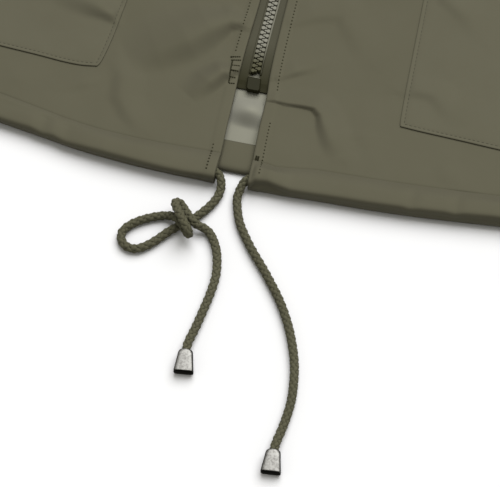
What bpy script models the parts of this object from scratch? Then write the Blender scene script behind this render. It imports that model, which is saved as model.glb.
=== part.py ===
import math

import bpy
import numpy as np

# A rain jacket laid flat on its back with the zip closed.
# Sizes are in millimetres: x across the body, y from hem to collar, z up from the surface.
# y is measured from the hem at the zip and moved by CENTRE_Y when the pieces are made.
MM = 0.001
CENTRE_Y = 386.3

# Cloth
WALL = 1.0
HALF = WALL / 2.0
GAP = 0.3

# Body outline, right half
SIDE_HEM_X = 285.0
SIDE_HEM_Y = 21.0
ARMPIT = (268.0, 430.0)
SHOULDER = (226.0, 662.0)
NECK = (86.0, 712.0)
FRONT_NECK_Y = 640.0
BACK_NECK_Y = 697.0
ARMHOLE_PULL = ((228.0, 470.0), (214.0, 560.0))
FRONT_NECK_PULL = ((48.0, 640.0), (84.0, 668.0))
BACK_NECK_PULL = ((40.0, 697.0), (70.0, 702.0))

# Hem line: distance from the zip, rise of the hem on the left, rise on the right
HEM_RISE = (
    (0.0, 0.0, 0.0),
    (25.0, 0.1, 0.2),
    (45.0, 0.9, 1.0),
    (68.0, 3.0, 1.7),
    (90.0, 6.5, 3.1),
    (116.0, 10.4, 5.5),
    (200.0, 18.0, 14.0),
    (290.0, 22.0, 20.0),
)

# Front edges and zip: height, left edge, middle of the zip, right edge
FRONT_EDGE = (
    (0.0, -4.2, 3.2, 10.8),
    (14.0, -4.3, 2.8, 10.1),
    (30.0, -5.0, 2.4, 9.2),
    (50.0, -5.7, 1.9, 8.6),
    (58.0, -6.1, 1.0, 7.8),
    (70.0, -6.2, 0.4, 7.1),
    (100.0, -5.7, 0.3, 6.5),
    (160.0, -6.0, 0.0, 6.0),
    (710.0, -6.0, 0.0, 6.0),
)

# Front casing, from the turned-in edge round the hem to the stitch line: height above the hem, z
CASING_DEPTH = 14.0
STITCH_Z = 5.3
FRONT_CASING = (
    (16.0, 3.90),
    (11.5, 3.90),
    (7.2, 3.60),
    (4.2, 1.60),
    (2.2, 1.00),
    (0.9, 1.60),
    (0.5, 3.30),
    (0.5, 5.90),
    (0.8, 7.20),
    (1.8, 7.85),
    (4.0, 7.95),
    (8.0, 7.65),
    (11.0, 6.75),
    (13.0, 5.75),
    (14.0, STITCH_Z),
)

# Back casing, from the turned-up edge round the hem: height above the back's own hem, z
BACK_HEM_SET = 7.7
BACK_CASING = (
    (15.6, 2.20),
    (10.0, 2.45),
    (5.0, 2.50),
    (1.6, 2.40),
    (0.5, 1.45),
    (1.6, 0.50),
    (8.0, 0.50),
    (20.0, 0.50),
)

# Grid lines of the panels: fractions from the front edge to the side, heights up to the armpit
FRONT_COLUMNS = (0.0, 0.02, 0.05, 0.09, 0.135, 0.18, 0.30, 0.38, 0.47, 0.56, 0.66, 0.76, 0.92, 1.0)
NECK_COLUMN = 0.47
FRONT_ROWS = (18.0, 24.0, 32.0, 40.0, 47.0, 56.0, 66.0, 78.0, 92.0, 110.0, 135.0, 165.0,
              200.0, 235.0, 280.0, 330.0, 380.0, 430.0)
BACK_COLUMNS = (0.0, 0.15, 0.30, 0.47, 0.66, 0.84, 1.0)
BACK_ROWS = (47.0, 110.0, 200.0, 300.0, 380.0, 430.0)
ARMHOLE_STEPS = (0.2, 0.4, 0.6, 0.8, 1.0)

# Lie of the fronts
BACK_Z = 0.5
SEAM_Z = BACK_Z + WALL + GAP
OPEN_Z = 3.7
ARMHOLE_RISE = 1.4
COLLAR_LIFT = 1.6
LIFT_START_Y = 600.0
LIFT_RUN = 55.0
EASE = 55.0
HEM_EASE = 46.0
BACK_EASE_Y = 30.0
BACK_EASE = 150.0

# Main folds: start x, start y, end x, end y, half width, height of the ridge
FOLDS = (
    (-16.0, 96.0, -60.0, 58.0, 15.0, 1.7),
    (-14.0, 66.0, -46.0, 38.0, 11.0, 1.1),
    (14.0, 40.0, 44.0, 38.0, 10.0, 1.4),
    (30.0, 62.0, 62.0, 26.0, 13.0, 1.5),
    (-98.0, 34.0, -128.0, 96.0, 18.0, 1.2),
    (96.0, 36.0, 132.0, 84.0, 18.0, 1.2),
    (-60.0, 300.0, -190.0, 410.0, 30.0, 2.4),
    (70.0, 330.0, 200.0, 420.0, 28.0, 2.2),
    (-120.0, 560.0, -190.0, 470.0, 26.0, 2.0),
    (110.0, 590.0, 180.0, 480.0, 26.0, 2.1),
    (40.0, 260.0, 120.0, 290.0, 26.0, 1.6),
    (-200.0, 250.0, -120.0, 280.0, 26.0, 1.6),
)

# Patch pockets
POCKET_IN_X = 70.6
POCKET_OUT_X = 240.0
POCKET_LOW_Y = 47.0
POCKET_TOP_Y = 235.0

# Sleeves
SLEEVE_LENGTH = 610.0
SLEEVE_TURN = 45.0
CUFF_WIDTH = 118.0
SLEEVE_RINGS = 13
SLEEVE_TOP_Z = 2.95
SLEEVE_BOW = 14.0
SLEEVE_EASE = 0.12
SLEEVE_FOLD_WIDTH = 0.28
EDGE_OUT = 1.2
# Sleeve folds: distance along the sleeve, share across it, half length, height
SLEEVE_FOLDS = (
    (0.16, 0.30, 0.07, 2.4),
    (0.34, 0.65, 0.06, 1.5),
    (0.52, 0.40, 0.08, 2.1),
    (0.74, 0.60, 0.06, 1.4),
)

# Collar
COLLAR_HEIGHT = 65.0
COLLAR_ROWS = 4
COLLAR_LEAN = 6.0
COLLAR_BACK_HEIGHT = 60.0
COLLAR_SIDE_Z = 3.0
COLLAR_SIDE_SET = 0.25

# Zip
TAPE_LOW_Y = 51.0
ZIP_TOP_Y = 703.0
TAPE_IN = 3.45
TAPE_OUT = 13.0
TAPE_LIFT = 1.0
TAPE_THICK = 0.6
TEETH_IN = 0.15
TEETH_OUT = 3.15
TEETH_THICK = 2.6
TEETH_LOW_Y = 58.4
TEETH_TOP_Y = 693.0
ZIP_BASE_Z = 1.3
ZIP_ROWS = (51.0, 58.4, 66.0, 76.0, 88.0, 100.0, 130.0, 160.0, 250.0, 350.0, 450.0, 550.0,
            600.0, 612.0, 624.0, 636.0, 648.0, 660.0, 680.0, 693.0, 703.0)
BOX_LOW_Y = 48.8
BOX_HALF_WIDTH = 3.1
BOX_THICK = 3.0
BOX_ROUND = 0.7

# Slider and pull tab
PIVOT_Y = 690.5
SLIDER_HALF_WIDTH = 4.0
SLIDER_LOW_Y = 686.5
SLIDER_TOP_Y = 697.5
PLATE = 0.9
POST_HALF_WIDTH = 1.4
POST_SET = 0.4
OVERLAP = 0.3
BAIL_HALF_WIDTH = 0.7
BAIL_REACH = 2.6
BAIL_BAR = 1.0
PIVOT_RISE = 1.35
TAB_HALF_WIDTH = 3.2
TAB_THICK = 1.3
TAB_LENGTH = 26.0
TAB_EYE_HALF = 1.9
TAB_EYE = 4.2
TAB_BAR = 0.7
CUT_PAST = 2.0

# Drawcords
CORD_RADIUS = 2.0
CORD_SIDES = 2
CORD_STEP = 6.5
KNOT_STEP = 2.0
KNOT_MIDDLE = (-13.0, -24.0)
KNOT_REACH = 11.0
EXIT_MIDDLE = (3.0, 0.0)
EXIT_REACH = (12.0, 6.0)
ROUTE_STEPS = 24
# Route points out of the left casing, under the knot, round the loop, through the knot to the free end
LEFT_ROUTE = (
    (-30.0, 5.0, 5.15), (-18.0, 4.8, 5.15), (-9.0, 4.6, 5.15), (-3.8, 3.9, 4.8), (-1.4, 0.9, 3.8),
    (-0.7, -2.6, 2.5), (-1.2, -6.4, 2.05), (-2.7, -10.4, 2.05), (-4.9, -14.2, 2.05),
    (-7.3, -17.6, 2.05), (-9.9, -20.8, 2.05), (-12.7, -23.4, 2.05), (-15.6, -25.9, 2.05),
    (-18.8, -29.2, 2.05), (-22.3, -33.7, 2.05), (-26.2, -37.8, 2.05), (-30.3, -40.4, 2.05),
    (-34.6, -40.3, 2.05), (-37.8, -37.5, 2.05), (-38.4, -33.4, 2.05), (-36.2, -29.6, 2.05),
    (-32.7, -26.5, 2.05), (-28.5, -23.9, 2.05), (-24.4, -22.0, 2.05), (-20.8, -21.2, 2.5),
    (-17.7, -22.0, 4.3), (-15.1, -24.0, 6.0), (-12.5, -26.4, 6.2), (-10.3, -28.8, 5.6),
    (-9.0, -30.4, 6.4), (-8.5, -31.0, 8.2), (-9.0, -30.4, 10.0), (-10.3, -28.8, 10.8),
    (-12.2, -26.4, 10.8), (-14.6, -23.2, 10.5), (-16.6, -20.2, 9.7), (-17.9, -17.6, 8.4),
    (-17.7, -15.9, 6.8), (-16.3, -15.4, 5.4), (-14.4, -16.9, 4.9), (-11.9, -20.0, 6.0),
    (-9.3, -22.7, 6.3), (-6.7, -24.0, 4.9), (-3.8, -24.0, 3.2), (-1.0, -25.0, 2.2),
    (1.4, -27.6, 2.05), (3.7, -31.5, 2.05), (5.6, -36.6, 2.05), (7.2, -45.4, 2.05),
    (6.9, -54.5, 2.05), (5.8, -63.5, 2.05), (4.4, -73.4, 2.3), (3.2, -80.5, 2.9),
)
LEFT_TIP = ((3.2, -85.0, 3.0), (4.5, -95.1, 2.55))
# Route points out of the right casing to the free end
RIGHT_ROUTE = (
    (36.0, 5.2, 5.15), (24.0, 4.8, 5.15), (15.0, 4.5, 5.15), (10.4, 3.8, 4.8), (8.5, 1.2, 3.8),
    (7.6, -2.6, 2.5), (7.7, -6.6, 2.05), (10.8, -16.0, 2.05), (15.4, -23.6, 2.05),
    (20.5, -30.4, 2.05), (26.1, -37.0, 2.05), (29.5, -41.2, 2.05), (37.7, -52.3, 2.05),
    (44.4, -64.4, 2.05), (49.4, -77.5, 2.05), (51.7, -88.0, 2.05), (52.7, -98.7, 2.05),
    (52.0, -109.6, 2.3), (50.9, -117.6, 2.9),
)
RIGHT_TIP = ((50.5, -122.7, 3.0), (51.45, -132.7, 2.55))
CORD_IN_TIP = 0.36
# Flattened bell tip: share of its length, half width, half height, bore half width, bore half height
TIP_SECTIONS = (
    (0.00, 2.80, 2.75, 2.42, 2.42),
    (0.05, 3.05, 2.88, 2.42, 2.42),
    (0.20, 3.30, 2.90, 2.42, 2.42),
    (0.44, 3.58, 2.80, 2.42, 2.32),
    (0.50, 3.65, 2.75, 3.15, 2.25),
    (0.80, 4.10, 2.60, 3.60, 2.10),
    (0.96, 4.34, 2.50, 3.84, 2.00),
    (1.00, 4.28, 2.45, 3.84, 2.00),
)
TIP_SQUARE = 0.55
TIP_ROUND_SHARE = 0.2
TIP_SIDES = 20

# Colours, linear
OLIVE = (0.100, 0.096, 0.066)
POCKET_OLIVE = (0.106, 0.102, 0.071)
TAPE_OLIVE = (0.090, 0.086, 0.060)
TOOTH_OLIVE = (0.120, 0.116, 0.090)
BOX_OLIVE = (0.030, 0.029, 0.014)
CORD_OLIVE = (0.075, 0.071, 0.050)
STEEL = (0.56, 0.55, 0.53)
SLIDER_OLIVE = (0.060, 0.058, 0.040)


def clear_scene():
    for item in list(bpy.data.objects):
        bpy.data.objects.remove(item, do_unlink=True)


def smooth(value):
    value = np.clip(value, 0.0, 1.0)
    return value * value * (3.0 - 2.0 * value)


def through(table, where, column):
    """Smooth curve through one column of a table against its first column."""
    xs = [row[0] for row in table]
    ys = [row[column] for row in table]
    if where <= xs[0]:
        return ys[0]
    if where >= xs[-1]:
        return ys[-1]
    i = max(k for k in range(len(xs) - 1) if xs[k] <= where)
    step = xs[i + 1] - xs[i]
    share = (where - xs[i]) / step
    rise = (ys[i + 1] - ys[i]) / step
    before = (ys[i] - ys[i - 1]) / (xs[i] - xs[i - 1]) if i > 0 else rise
    after = (ys[i + 2] - ys[i + 1]) / (xs[i + 2] - xs[i + 1]) if i + 2 < len(xs) else rise
    start = 0.5 * (before + rise) * step
    end = 0.5 * (rise + after) * step
    s2 = share * share
    s3 = s2 * share
    return ((2 * s3 - 3 * s2 + 1) * ys[i] + (s3 - 2 * s2 + share) * start
            + (3 * s2 - 2 * s3) * ys[i + 1] + (s3 - s2) * end)


def bezier(a, pulls, b, share):
    a, b = np.array(a), np.array(b)
    p, q = np.array(pulls[0]), np.array(pulls[1])
    rest = 1.0 - share
    return rest ** 3 * a + 3 * rest ** 2 * share * p + 3 * rest * share ** 2 * q + share ** 3 * b


def hem_y(x):
    return through(HEM_RISE, abs(x), 1 if x < 0 else 2)


def edge_x(side, y):
    """Distance of a front's edge from the zip line, outward positive."""
    return -through(FRONT_EDGE, y, 1) if side < 0 else through(FRONT_EDGE, y, 3)


def zip_x(y):
    return through(FRONT_EDGE, y, 2)


def side_x(y):
    share = min(max((y - SIDE_HEM_Y) / (ARMPIT[1] - SIDE_HEM_Y), 0.0), 1.0)
    return SIDE_HEM_X + (ARMPIT[0] - SIDE_HEM_X) * share


def armhole_x(y):
    """Armhole found by height, for the lie of the front beside it."""
    share = min(max((y - ARMPIT[1]) / (SHOULDER[1] - ARMPIT[1]), 0.0), 1.0)
    return bezier(ARMPIT, ARMHOLE_PULL, SHOULDER, share)[0]


def zip_lift(y):
    return COLLAR_LIFT * float(smooth((y - LIFT_START_Y) / LIFT_RUN))


def fold_height(x, y):
    total = 0.0
    for x0, y0, x1, y1, half_width, height in FOLDS:
        run = np.array((x1 - x0, y1 - y0))
        length = float(np.hypot(*run))
        along = ((x - x0) * run[0] + (y - y0) * run[1]) / length
        across = ((x - x0) * run[1] - (y - y0) * run[0]) / length
        beyond = max(0.0, -along, along - length)
        total += height * math.exp(-(across / half_width) ** 2 - (beyond / half_width) ** 2)
    return total


def front_z(x, y):
    """Middle of the cloth of a front above the point x, y."""
    out = abs(x)
    near_hem = 1.0 - float(smooth((y - hem_y(x) - CASING_DEPTH) / HEM_EASE))
    open_z = OPEN_Z + zip_lift(y) + (STITCH_Z - OPEN_Z) * near_hem
    beside = side_x(y) - out if y < ARMPIT[1] else armhole_x(y) - out
    rim = SEAM_Z + (STITCH_Z - SEAM_Z) * near_hem
    if y > ARMPIT[1]:
        share = min((y - ARMPIT[1]) / (SHOULDER[1] - ARMPIT[1]), 1.0)
        rim = SEAM_Z + ARMHOLE_RISE * math.sin(math.pi * share)
    side_keep = float(smooth(beside / EASE))
    top_keep = float(smooth(below_shoulder(out, y) / EASE))
    drop_side = (open_z - rim) * (1.0 - side_keep)
    drop_top = (open_z - SEAM_Z) * (1.0 - top_keep)
    return open_z - max(drop_side, drop_top) + fold_height(x, y) * side_keep * top_keep


def below_shoulder(out, y):
    """Distance below the shoulder seam, or from the neck point on the neck side."""
    run = np.array(SHOULDER) - np.array(NECK)
    run = run / np.hypot(*run)
    dx, dy = out - NECK[0], y - NECK[1]
    distance = dx * run[1] - dy * run[0]
    if dx < 0.0:
        distance = math.hypot(min(dx, 0.0), min(dy, 0.0))
    return max(distance, 0.0)


def top_edge(columns, neck_a, neck_pull):
    """Points along a neck and a shoulder seam at the panel's columns."""
    points = []
    for column in columns:
        if column <= NECK_COLUMN:
            points.append(bezier(neck_a, neck_pull, NECK, column / NECK_COLUMN))
        else:
            share = (column - NECK_COLUMN) / (1.0 - NECK_COLUMN)
            points.append(np.array(NECK) + (np.array(SHOULDER) - np.array(NECK)) * share)
    return points


def armhole(share):
    return bezier(ARMPIT, ARMHOLE_PULL, SHOULDER, share)


def armhole_out(share):
    """Direction out of the body at a point of the armhole."""
    step = 0.001
    run = armhole(min(share + step, 1.0)) - armhole(max(share - step, 0.0))
    run = run / np.hypot(*run)
    return np.array((run[1], -run[0]))


def upper_rows(columns, inner_x, top, share):
    """One row of a panel between the armpit level and the neck and shoulder."""
    low_in = np.array((inner_x, ARMPIT[1]))
    low_out = np.array(ARMPIT)
    straight = low_out + (top[-1] - low_out) * share
    bend = armhole(share) - straight
    row = []
    for column, high in zip(columns, top):
        low = low_in + (low_out - low_in) * column
        row.append(low + (high - low) * share + bend * column)
    return row


def pocket_share(side, x):
    edge = edge_x(side, POCKET_LOW_Y)
    return (x - edge) / (side_x(POCKET_LOW_Y) - edge)


def front_columns(side):
    extra = (pocket_share(side, POCKET_IN_X), pocket_share(side, POCKET_OUT_X))
    return sorted(FRONT_COLUMNS + extra)


def front_grid(side):
    """Middle points of a front's cloth, row by row from the turned-in edge to the neck."""
    columns = front_columns(side)
    rows = []
    for above, z in FRONT_CASING:
        row = []
        for column in columns:
            edge = edge_x(side, above)
            x = side * (edge + column * (side_x(above + SIDE_HEM_Y) - edge))
            row.append((x, hem_y(x) + above, z))
        rows.append(row)
    for level in FRONT_ROWS:
        fade = 1.0 - float(smooth((level - CASING_DEPTH) / (POCKET_LOW_Y - CASING_DEPTH)))
        row = []
        for column in columns:
            edge = edge_x(side, level)
            x = side * (edge + column * (side_x(level) - edge))
            y = level + hem_y(x) * fade
            row.append((x, y, front_z(x, y)))
        rows.append(row)
    inner = edge_x(side, ARMPIT[1])
    top = top_edge(columns, (inner, FRONT_NECK_Y), FRONT_NECK_PULL)
    for share in ARMHOLE_STEPS:
        row = []
        for x, y in upper_rows(columns, inner, top, share):
            row.append((side * x, y, front_z(side * x, y)))
        rows.append(row)
    return np.array(rows)


def back_grid():
    """Middle points of the back's cloth, from the turned-up hem edge to the neck."""
    columns = [-c for c in reversed(BACK_COLUMNS[1:])] + list(BACK_COLUMNS)
    rows = []
    for above, z in BACK_CASING:
        row = []
        for column in columns:
            x = column * SIDE_HEM_X
            row.append((x, hem_y(x) + BACK_HEM_SET + above, z))
        rows.append(row)
    for level in BACK_ROWS:
        fade = 1.0 - float(smooth((level - BACK_EASE_Y) / BACK_EASE))
        row = []
        for column in columns:
            x = column * side_x(level)
            row.append((x, level + hem_y(x) * fade, BACK_Z))
        rows.append(row)
    top = top_edge(BACK_COLUMNS, (0.0, BACK_NECK_Y), BACK_NECK_PULL)
    for share in ARMHOLE_STEPS:
        half = upper_rows(BACK_COLUMNS, 0.0, top, share)
        row = [(-x, y, BACK_Z) for x, y in reversed(half[1:])]
        row += [(x, y, BACK_Z) for x, y in half]
        rows.append(row)
    return np.array(rows)


def sleeve_grid(side):
    """Rings of a flattened sleeve from the armhole to the plain end, points all round."""
    shares = (0.0,) + ARMHOLE_STEPS
    turn = math.radians(SLEEVE_TURN)
    run = np.array((math.sin(turn), -math.cos(turn)))
    across = np.array((-math.cos(turn), -math.sin(turn)))
    end_out = np.array(SHOULDER) + run * SLEEVE_LENGTH
    rings = []
    for ring in range(SLEEVE_RINGS + 1):
        q = ring / SLEEVE_RINGS
        line = []
        for share in shares:
            start = armhole(share) + armhole_out(share) * GAP
            end = end_out + across * CUFF_WIDTH * (1.0 - share)
            point = start + (end - start) * q
            point = point - across * SLEEVE_BOW * math.sin(math.pi * q) * share
            line.append(point)
        top, low = [], []
        for share, point in zip(shares, line):
            seam = SEAM_Z + ARMHOLE_RISE * math.sin(math.pi * share)
            fold = 0.0
            for along, over, reach, height in SLEEVE_FOLDS:
                away = ((q - along) / reach) ** 2 + ((share - over) / SLEEVE_FOLD_WIDTH) ** 2
                fold += height * math.exp(-away)
            z = SLEEVE_TOP_Z + fold * math.sin(math.pi * share)
            z = seam + (z - seam) * float(smooth(q / SLEEVE_EASE))
            top.append((side * point[0], point[1], z))
            low.append((side * point[0], point[1], BACK_Z))
        first = line[0] - line[1]
        first = line[0] + first / np.hypot(*first) * EDGE_OUT
        last = line[-1] - line[-2]
        last = line[-1] + last / np.hypot(*last) * EDGE_OUT
        under = (side * first[0], first[1], 0.5 * (top[0][2] + BACK_Z))
        over = (side * last[0], last[1], 0.5 * (top[-1][2] + BACK_Z))
        rings.append(top + [over] + low[::-1] + [under])
    return np.array(rings)


def collar_grid():
    """Collar from the left zip edge round the back to the right zip edge, rows upward."""
    columns = [c for c in front_columns(1) if c <= NECK_COLUMN + 1e-6]
    back_columns = [c for c in BACK_COLUMNS if c <= NECK_COLUMN + 1e-6]
    inner = edge_x(1, ARMPIT[1])
    front = top_edge(columns, (inner, FRONT_NECK_Y), FRONT_NECK_PULL)
    back = top_edge(back_columns, (0.0, BACK_NECK_Y), BACK_NECK_PULL)
    rows = []
    for step in range(COLLAR_ROWS + 1):
        q = step / COLLAR_ROWS
        half = []
        for column, point in zip(columns, front):
            share = column / NECK_COLUMN
            lean = -COLLAR_LEAN * share * q
            height = COLLAR_HEIGHT + (COLLAR_BACK_HEIGHT - COLLAR_HEIGHT) * share
            z = OPEN_Z + COLLAR_LIFT
            z = z + (COLLAR_SIDE_Z - z) * float(smooth(share))
            rise = GAP + COLLAR_SIDE_SET * share + height * q
            half.append((point[0] + lean, point[1] + rise, z))
        edge = half[-1]
        half.append((edge[0] + EDGE_OUT, edge[1], 0.5 * (edge[2] + BACK_Z)))
        for column, point in reversed(list(zip(back_columns, back))):
            share = column / NECK_COLUMN
            lean = -COLLAR_LEAN * share * q
            height = COLLAR_HEIGHT + (COLLAR_BACK_HEIGHT - COLLAR_HEIGHT) * share
            rise = GAP + COLLAR_SIDE_SET * share + height * q
            half.append((point[0] + lean, point[1] + rise, BACK_Z))
        left = [(-x, y, z) for x, y, z in half]
        rows.append(left + half[-2::-1])
    return np.array(rows)


def material(name, colour, roughness, metallic=0.0):
    made = bpy.data.materials.new(name)
    made.use_nodes = True
    shader = made.node_tree.nodes["Principled BSDF"]
    shader.inputs["Base Color"].default_value = (*colour, 1.0)
    shader.inputs["Roughness"].default_value = roughness
    shader.inputs["Metallic"].default_value = metallic
    return made


def add_object(name, points, faces, shade):
    points = np.array(points, dtype=float)
    points[:, 1] -= CENTRE_Y
    mesh = bpy.data.meshes.new(name)
    mesh.from_pydata([tuple(p) for p in points * MM], [], faces)
    mesh.update()
    made = bpy.data.objects.new(name, mesh)
    bpy.context.scene.collection.objects.link(made)
    mesh.materials.append(shade)
    return made


def grid_normals(grid, closed):
    """Unit normals of a grid of points; closed grids run round along their second index."""
    down = np.gradient(grid, axis=0)
    if closed:
        across = 0.5 * (np.roll(grid, -1, axis=1) - np.roll(grid, 1, axis=1))
    else:
        across = np.gradient(grid, axis=1)
    normal = np.cross(across, down)
    return normal / np.linalg.norm(normal, axis=2, keepdims=True)


def quad(a, b, c, d):
    return [(a, b, c), (a, c, d)]


def volume(points, faces):
    total = 0.0
    for a, b, c in faces:
        total += np.dot(points[a], np.cross(points[b], points[c]))
    return total


def outward(points, faces):
    if volume(np.array(points), faces) < 0.0:
        return [(a, c, b) for a, b, c in faces]
    return faces


def cloth(name, grid, shade, wall=WALL, closed=False):
    """A wall of cloth on both sides of a grid of middle points, closed at its edges."""
    rows, cols = grid.shape[:2]
    normal = grid_normals(grid, closed)
    upper = (grid + normal * wall / 2).reshape(-1, 3)
    lower = (grid - normal * wall / 2).reshape(-1, 3)
    points = np.concatenate((upper, lower))
    shift = rows * cols
    faces = []
    last = cols if closed else cols - 1
    for r in range(rows - 1):
        for c in range(last):
            a = r * cols + c
            b = r * cols + (c + 1) % cols
            d = a + cols
            e = b + cols
            faces += quad(a, b, e, d)
            faces += [(x + shift, z + shift, y + shift) for x, y, z in quad(a, b, e, d)]
    rims = []
    for c in range(last):
        n = (c + 1) % cols
        rims.append((n, c))
        rims.append(((rows - 1) * cols + c, (rows - 1) * cols + n))
    if not closed:
        for r in range(rows - 1):
            rims.append((r * cols, (r + 1) * cols))
            rims.append(((r + 1) * cols + cols - 1, r * cols + cols - 1))
    for a, b in rims:
        faces += quad(a, b, b + shift, a + shift)
    return add_object(name, points, outward(points, faces), shade)


def patch(name, grid, normal, shade):
    """A pocket on a front: the front's own points moved out past its face."""
    return cloth(name, grid + normal * (WALL + GAP), shade)


def strip(name, inner, outer, low, thick, levels, side, shade):
    """A strip beside the zip with a rectangular section at each height."""
    points, faces = [], []
    for y in levels:
        middle = zip_x(y)
        base = ZIP_BASE_Z + zip_lift(y) + low
        for x, z in ((inner, base), (outer, base), (outer, base + thick), (inner, base + thick)):
            points.append((middle + side * x, y, z))
    count = len(levels)
    for r in range(count - 1):
        for c in range(4):
            a = r * 4 + c
            b = r * 4 + (c + 1) % 4
            faces += quad(a, b, b + 4, a + 4)
    faces += quad(3, 2, 1, 0)
    top = (count - 1) * 4
    faces += quad(top, top + 1, top + 2, top + 3)
    return add_object(name, points, outward(points, faces), shade)


def prism(section, low, high, axis):
    """Points and faces of a straight prism along an axis, from a closed section."""
    points = []
    for end in (low, high):
        for a, b in section:
            spot = [a, b]
            spot.insert(axis, end)
            points.append(tuple(spot))
    n = len(section)
    faces = [tuple(range(n)), tuple(range(2 * n - 1, n - 1, -1))]
    for k in range(n):
        m = (k + 1) % n
        faces.append((k, k + n, m + n, m))
    return points, faces


def rounded_section(half_width, low, high, cut):
    return ((-half_width + cut, low), (half_width - cut, low), (half_width, low + cut),
            (half_width, high - cut), (half_width - cut, high), (-half_width + cut, high),
            (-half_width, high - cut), (-half_width, low + cut))


def solid(name, points, faces, shade):
    made = add_object(name, points, faces, shade)
    signed = sum(volume(np.array(points), [(f[0], f[k], f[k + 1]) for k in range(1, len(f) - 1)])
                 for f in faces)
    if signed < 0.0:
        made.data.flip_normals()
    return made


def block(name, x0, x1, y0, y1, z0, z1, shade):
    points, faces = prism(((x0, y0), (x1, y0), (x1, y1), (x0, y1)), z0, z1, 2)
    return solid(name, points, faces, shade)


def join(body, extras, operation):
    """Join or cut plain blocks into one body."""
    for extra in extras:
        change = body.modifiers.new(extra.name, "BOOLEAN")
        change.operation = operation
        change.solver = "EXACT"
        change.object = extra
    bpy.context.view_layer.update()
    graph = bpy.context.evaluated_depsgraph_get()
    mesh = bpy.data.meshes.new_from_object(body.evaluated_get(graph))
    body.modifiers.clear()
    body.data = mesh
    for extra in extras:
        bpy.data.objects.remove(extra, do_unlink=True)
    return body


def zip_parts():
    tape = material("zip_tape_cloth", TAPE_OLIVE, 0.8)
    teeth = material("zip_teeth_plastic", TOOTH_OLIVE, 0.45)
    hard = material("zip_box_plastic", BOX_OLIVE, 0.5)
    metal = material("slider_metal", SLIDER_OLIVE, 0.4, 0.6)
    tooth_rows = [y for y in ZIP_ROWS if TEETH_LOW_Y <= y <= TEETH_TOP_Y]
    for side, word in ((-1, "left"), (1, "right")):
        strip("zip_tape_" + word, TAPE_IN, TAPE_OUT, TAPE_LIFT, TAPE_THICK, ZIP_ROWS, side, tape)
        strip("zip_teeth_" + word, TEETH_IN, TEETH_OUT, 0.0, TEETH_THICK, tooth_rows, side, teeth)
    section = rounded_section(BOX_HALF_WIDTH, ZIP_BASE_Z, ZIP_BASE_Z + BOX_THICK, BOX_ROUND)
    high = TEETH_LOW_Y - GAP
    points, faces = prism(section, BOX_LOW_Y, high, 1)
    points = [(x + zip_x(y), y, z) for x, y, z in points]
    solid("zip_box", points, faces, hard)
    teeth_low = ZIP_BASE_Z + COLLAR_LIFT
    under = teeth_low - GAP - PLATE
    over = teeth_low + TEETH_THICK + GAP
    pivot_z = over + PLATE + PIVOT_RISE
    slider = block("zip_slider", -SLIDER_HALF_WIDTH, SLIDER_HALF_WIDTH, SLIDER_LOW_Y, SLIDER_TOP_Y,
                   over, over + PLATE, metal)
    plate = block("under_plate", -SLIDER_HALF_WIDTH, SLIDER_HALF_WIDTH, SLIDER_LOW_Y, SLIDER_TOP_Y,
                  under, under + PLATE, metal)
    post = block("post", -POST_HALF_WIDTH, POST_HALF_WIDTH, TEETH_TOP_Y + GAP, SLIDER_TOP_Y - POST_SET,
                 under + OVERLAP, over + PLATE - OVERLAP, metal)
    bail_top = pivot_z + PIVOT_RISE + BAIL_BAR
    bail = block("bail", -BAIL_HALF_WIDTH, BAIL_HALF_WIDTH, PIVOT_Y - BAIL_REACH,
                 PIVOT_Y + BAIL_REACH, over + PLATE - OVERLAP, bail_top, metal)
    eye = BAIL_REACH - BAIL_BAR
    hole = block("bail_hole", -CUT_PAST, CUT_PAST, PIVOT_Y - eye, PIVOT_Y + eye, over + PLATE,
                 pivot_z + PIVOT_RISE, metal)
    bail = join(bail, [hole], "DIFFERENCE")
    join(slider, [plate, post, bail], "UNION")
    pull = block("zip_pull", -TAB_HALF_WIDTH, TAB_HALF_WIDTH, PIVOT_Y - TAB_LENGTH, PIVOT_Y + TAB_BAR,
                 pivot_z - TAB_THICK / 2, pivot_z + TAB_THICK / 2, metal)
    hole = block("pull_hole", -TAB_EYE_HALF, TAB_EYE_HALF, PIVOT_Y - TAB_EYE, PIVOT_Y - TAB_BAR,
                 pivot_z - CUT_PAST, pivot_z + CUT_PAST, metal)
    join(pull, [hole], "DIFFERENCE")


def spline(points, steps):
    """Smooth curve through route points, with the same number of steps between each pair."""
    pts = [np.array(p, dtype=float) for p in points]
    pts = [2 * pts[0] - pts[1]] + pts + [2 * pts[-1] - pts[-2]]
    fine = []
    for i in range(1, len(pts) - 2):
        a, b, c, d = pts[i - 1:i + 3]
        for k in range(steps):
            t = k / steps
            fine.append(0.5 * (2 * b + (c - a) * t + (2 * a - 5 * b + 4 * c - d) * t * t
                               + (3 * b - a - 3 * c + d) * t ** 3))
    fine.append(pts[-2])
    return np.array(fine)


def cord_points(route, tip):
    """Cord centre line, closer points in the knot, ending inside the tip."""
    neck, end = np.array(tip[0]), np.array(tip[1])
    route = list(route) + [neck, neck + (end - neck) * CORD_IN_TIP]
    fine = spline(route, ROUTE_STEPS)
    kept = [fine[0]]
    for point in fine[1:-1]:
        from_knot = math.hypot(point[0] - KNOT_MIDDLE[0], point[1] - KNOT_MIDDLE[1])
        step = KNOT_STEP if from_knot < KNOT_REACH else CORD_STEP
        from_exit = np.abs(point[:2] - EXIT_MIDDLE)
        if np.all(from_exit < EXIT_REACH):
            step = KNOT_STEP
        if np.linalg.norm(point - kept[-1]) >= step:
            kept.append(point)
    if np.linalg.norm(kept[-1] - fine[-1]) < KNOT_STEP:
        kept.pop()
    return kept + [fine[-1]]


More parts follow.
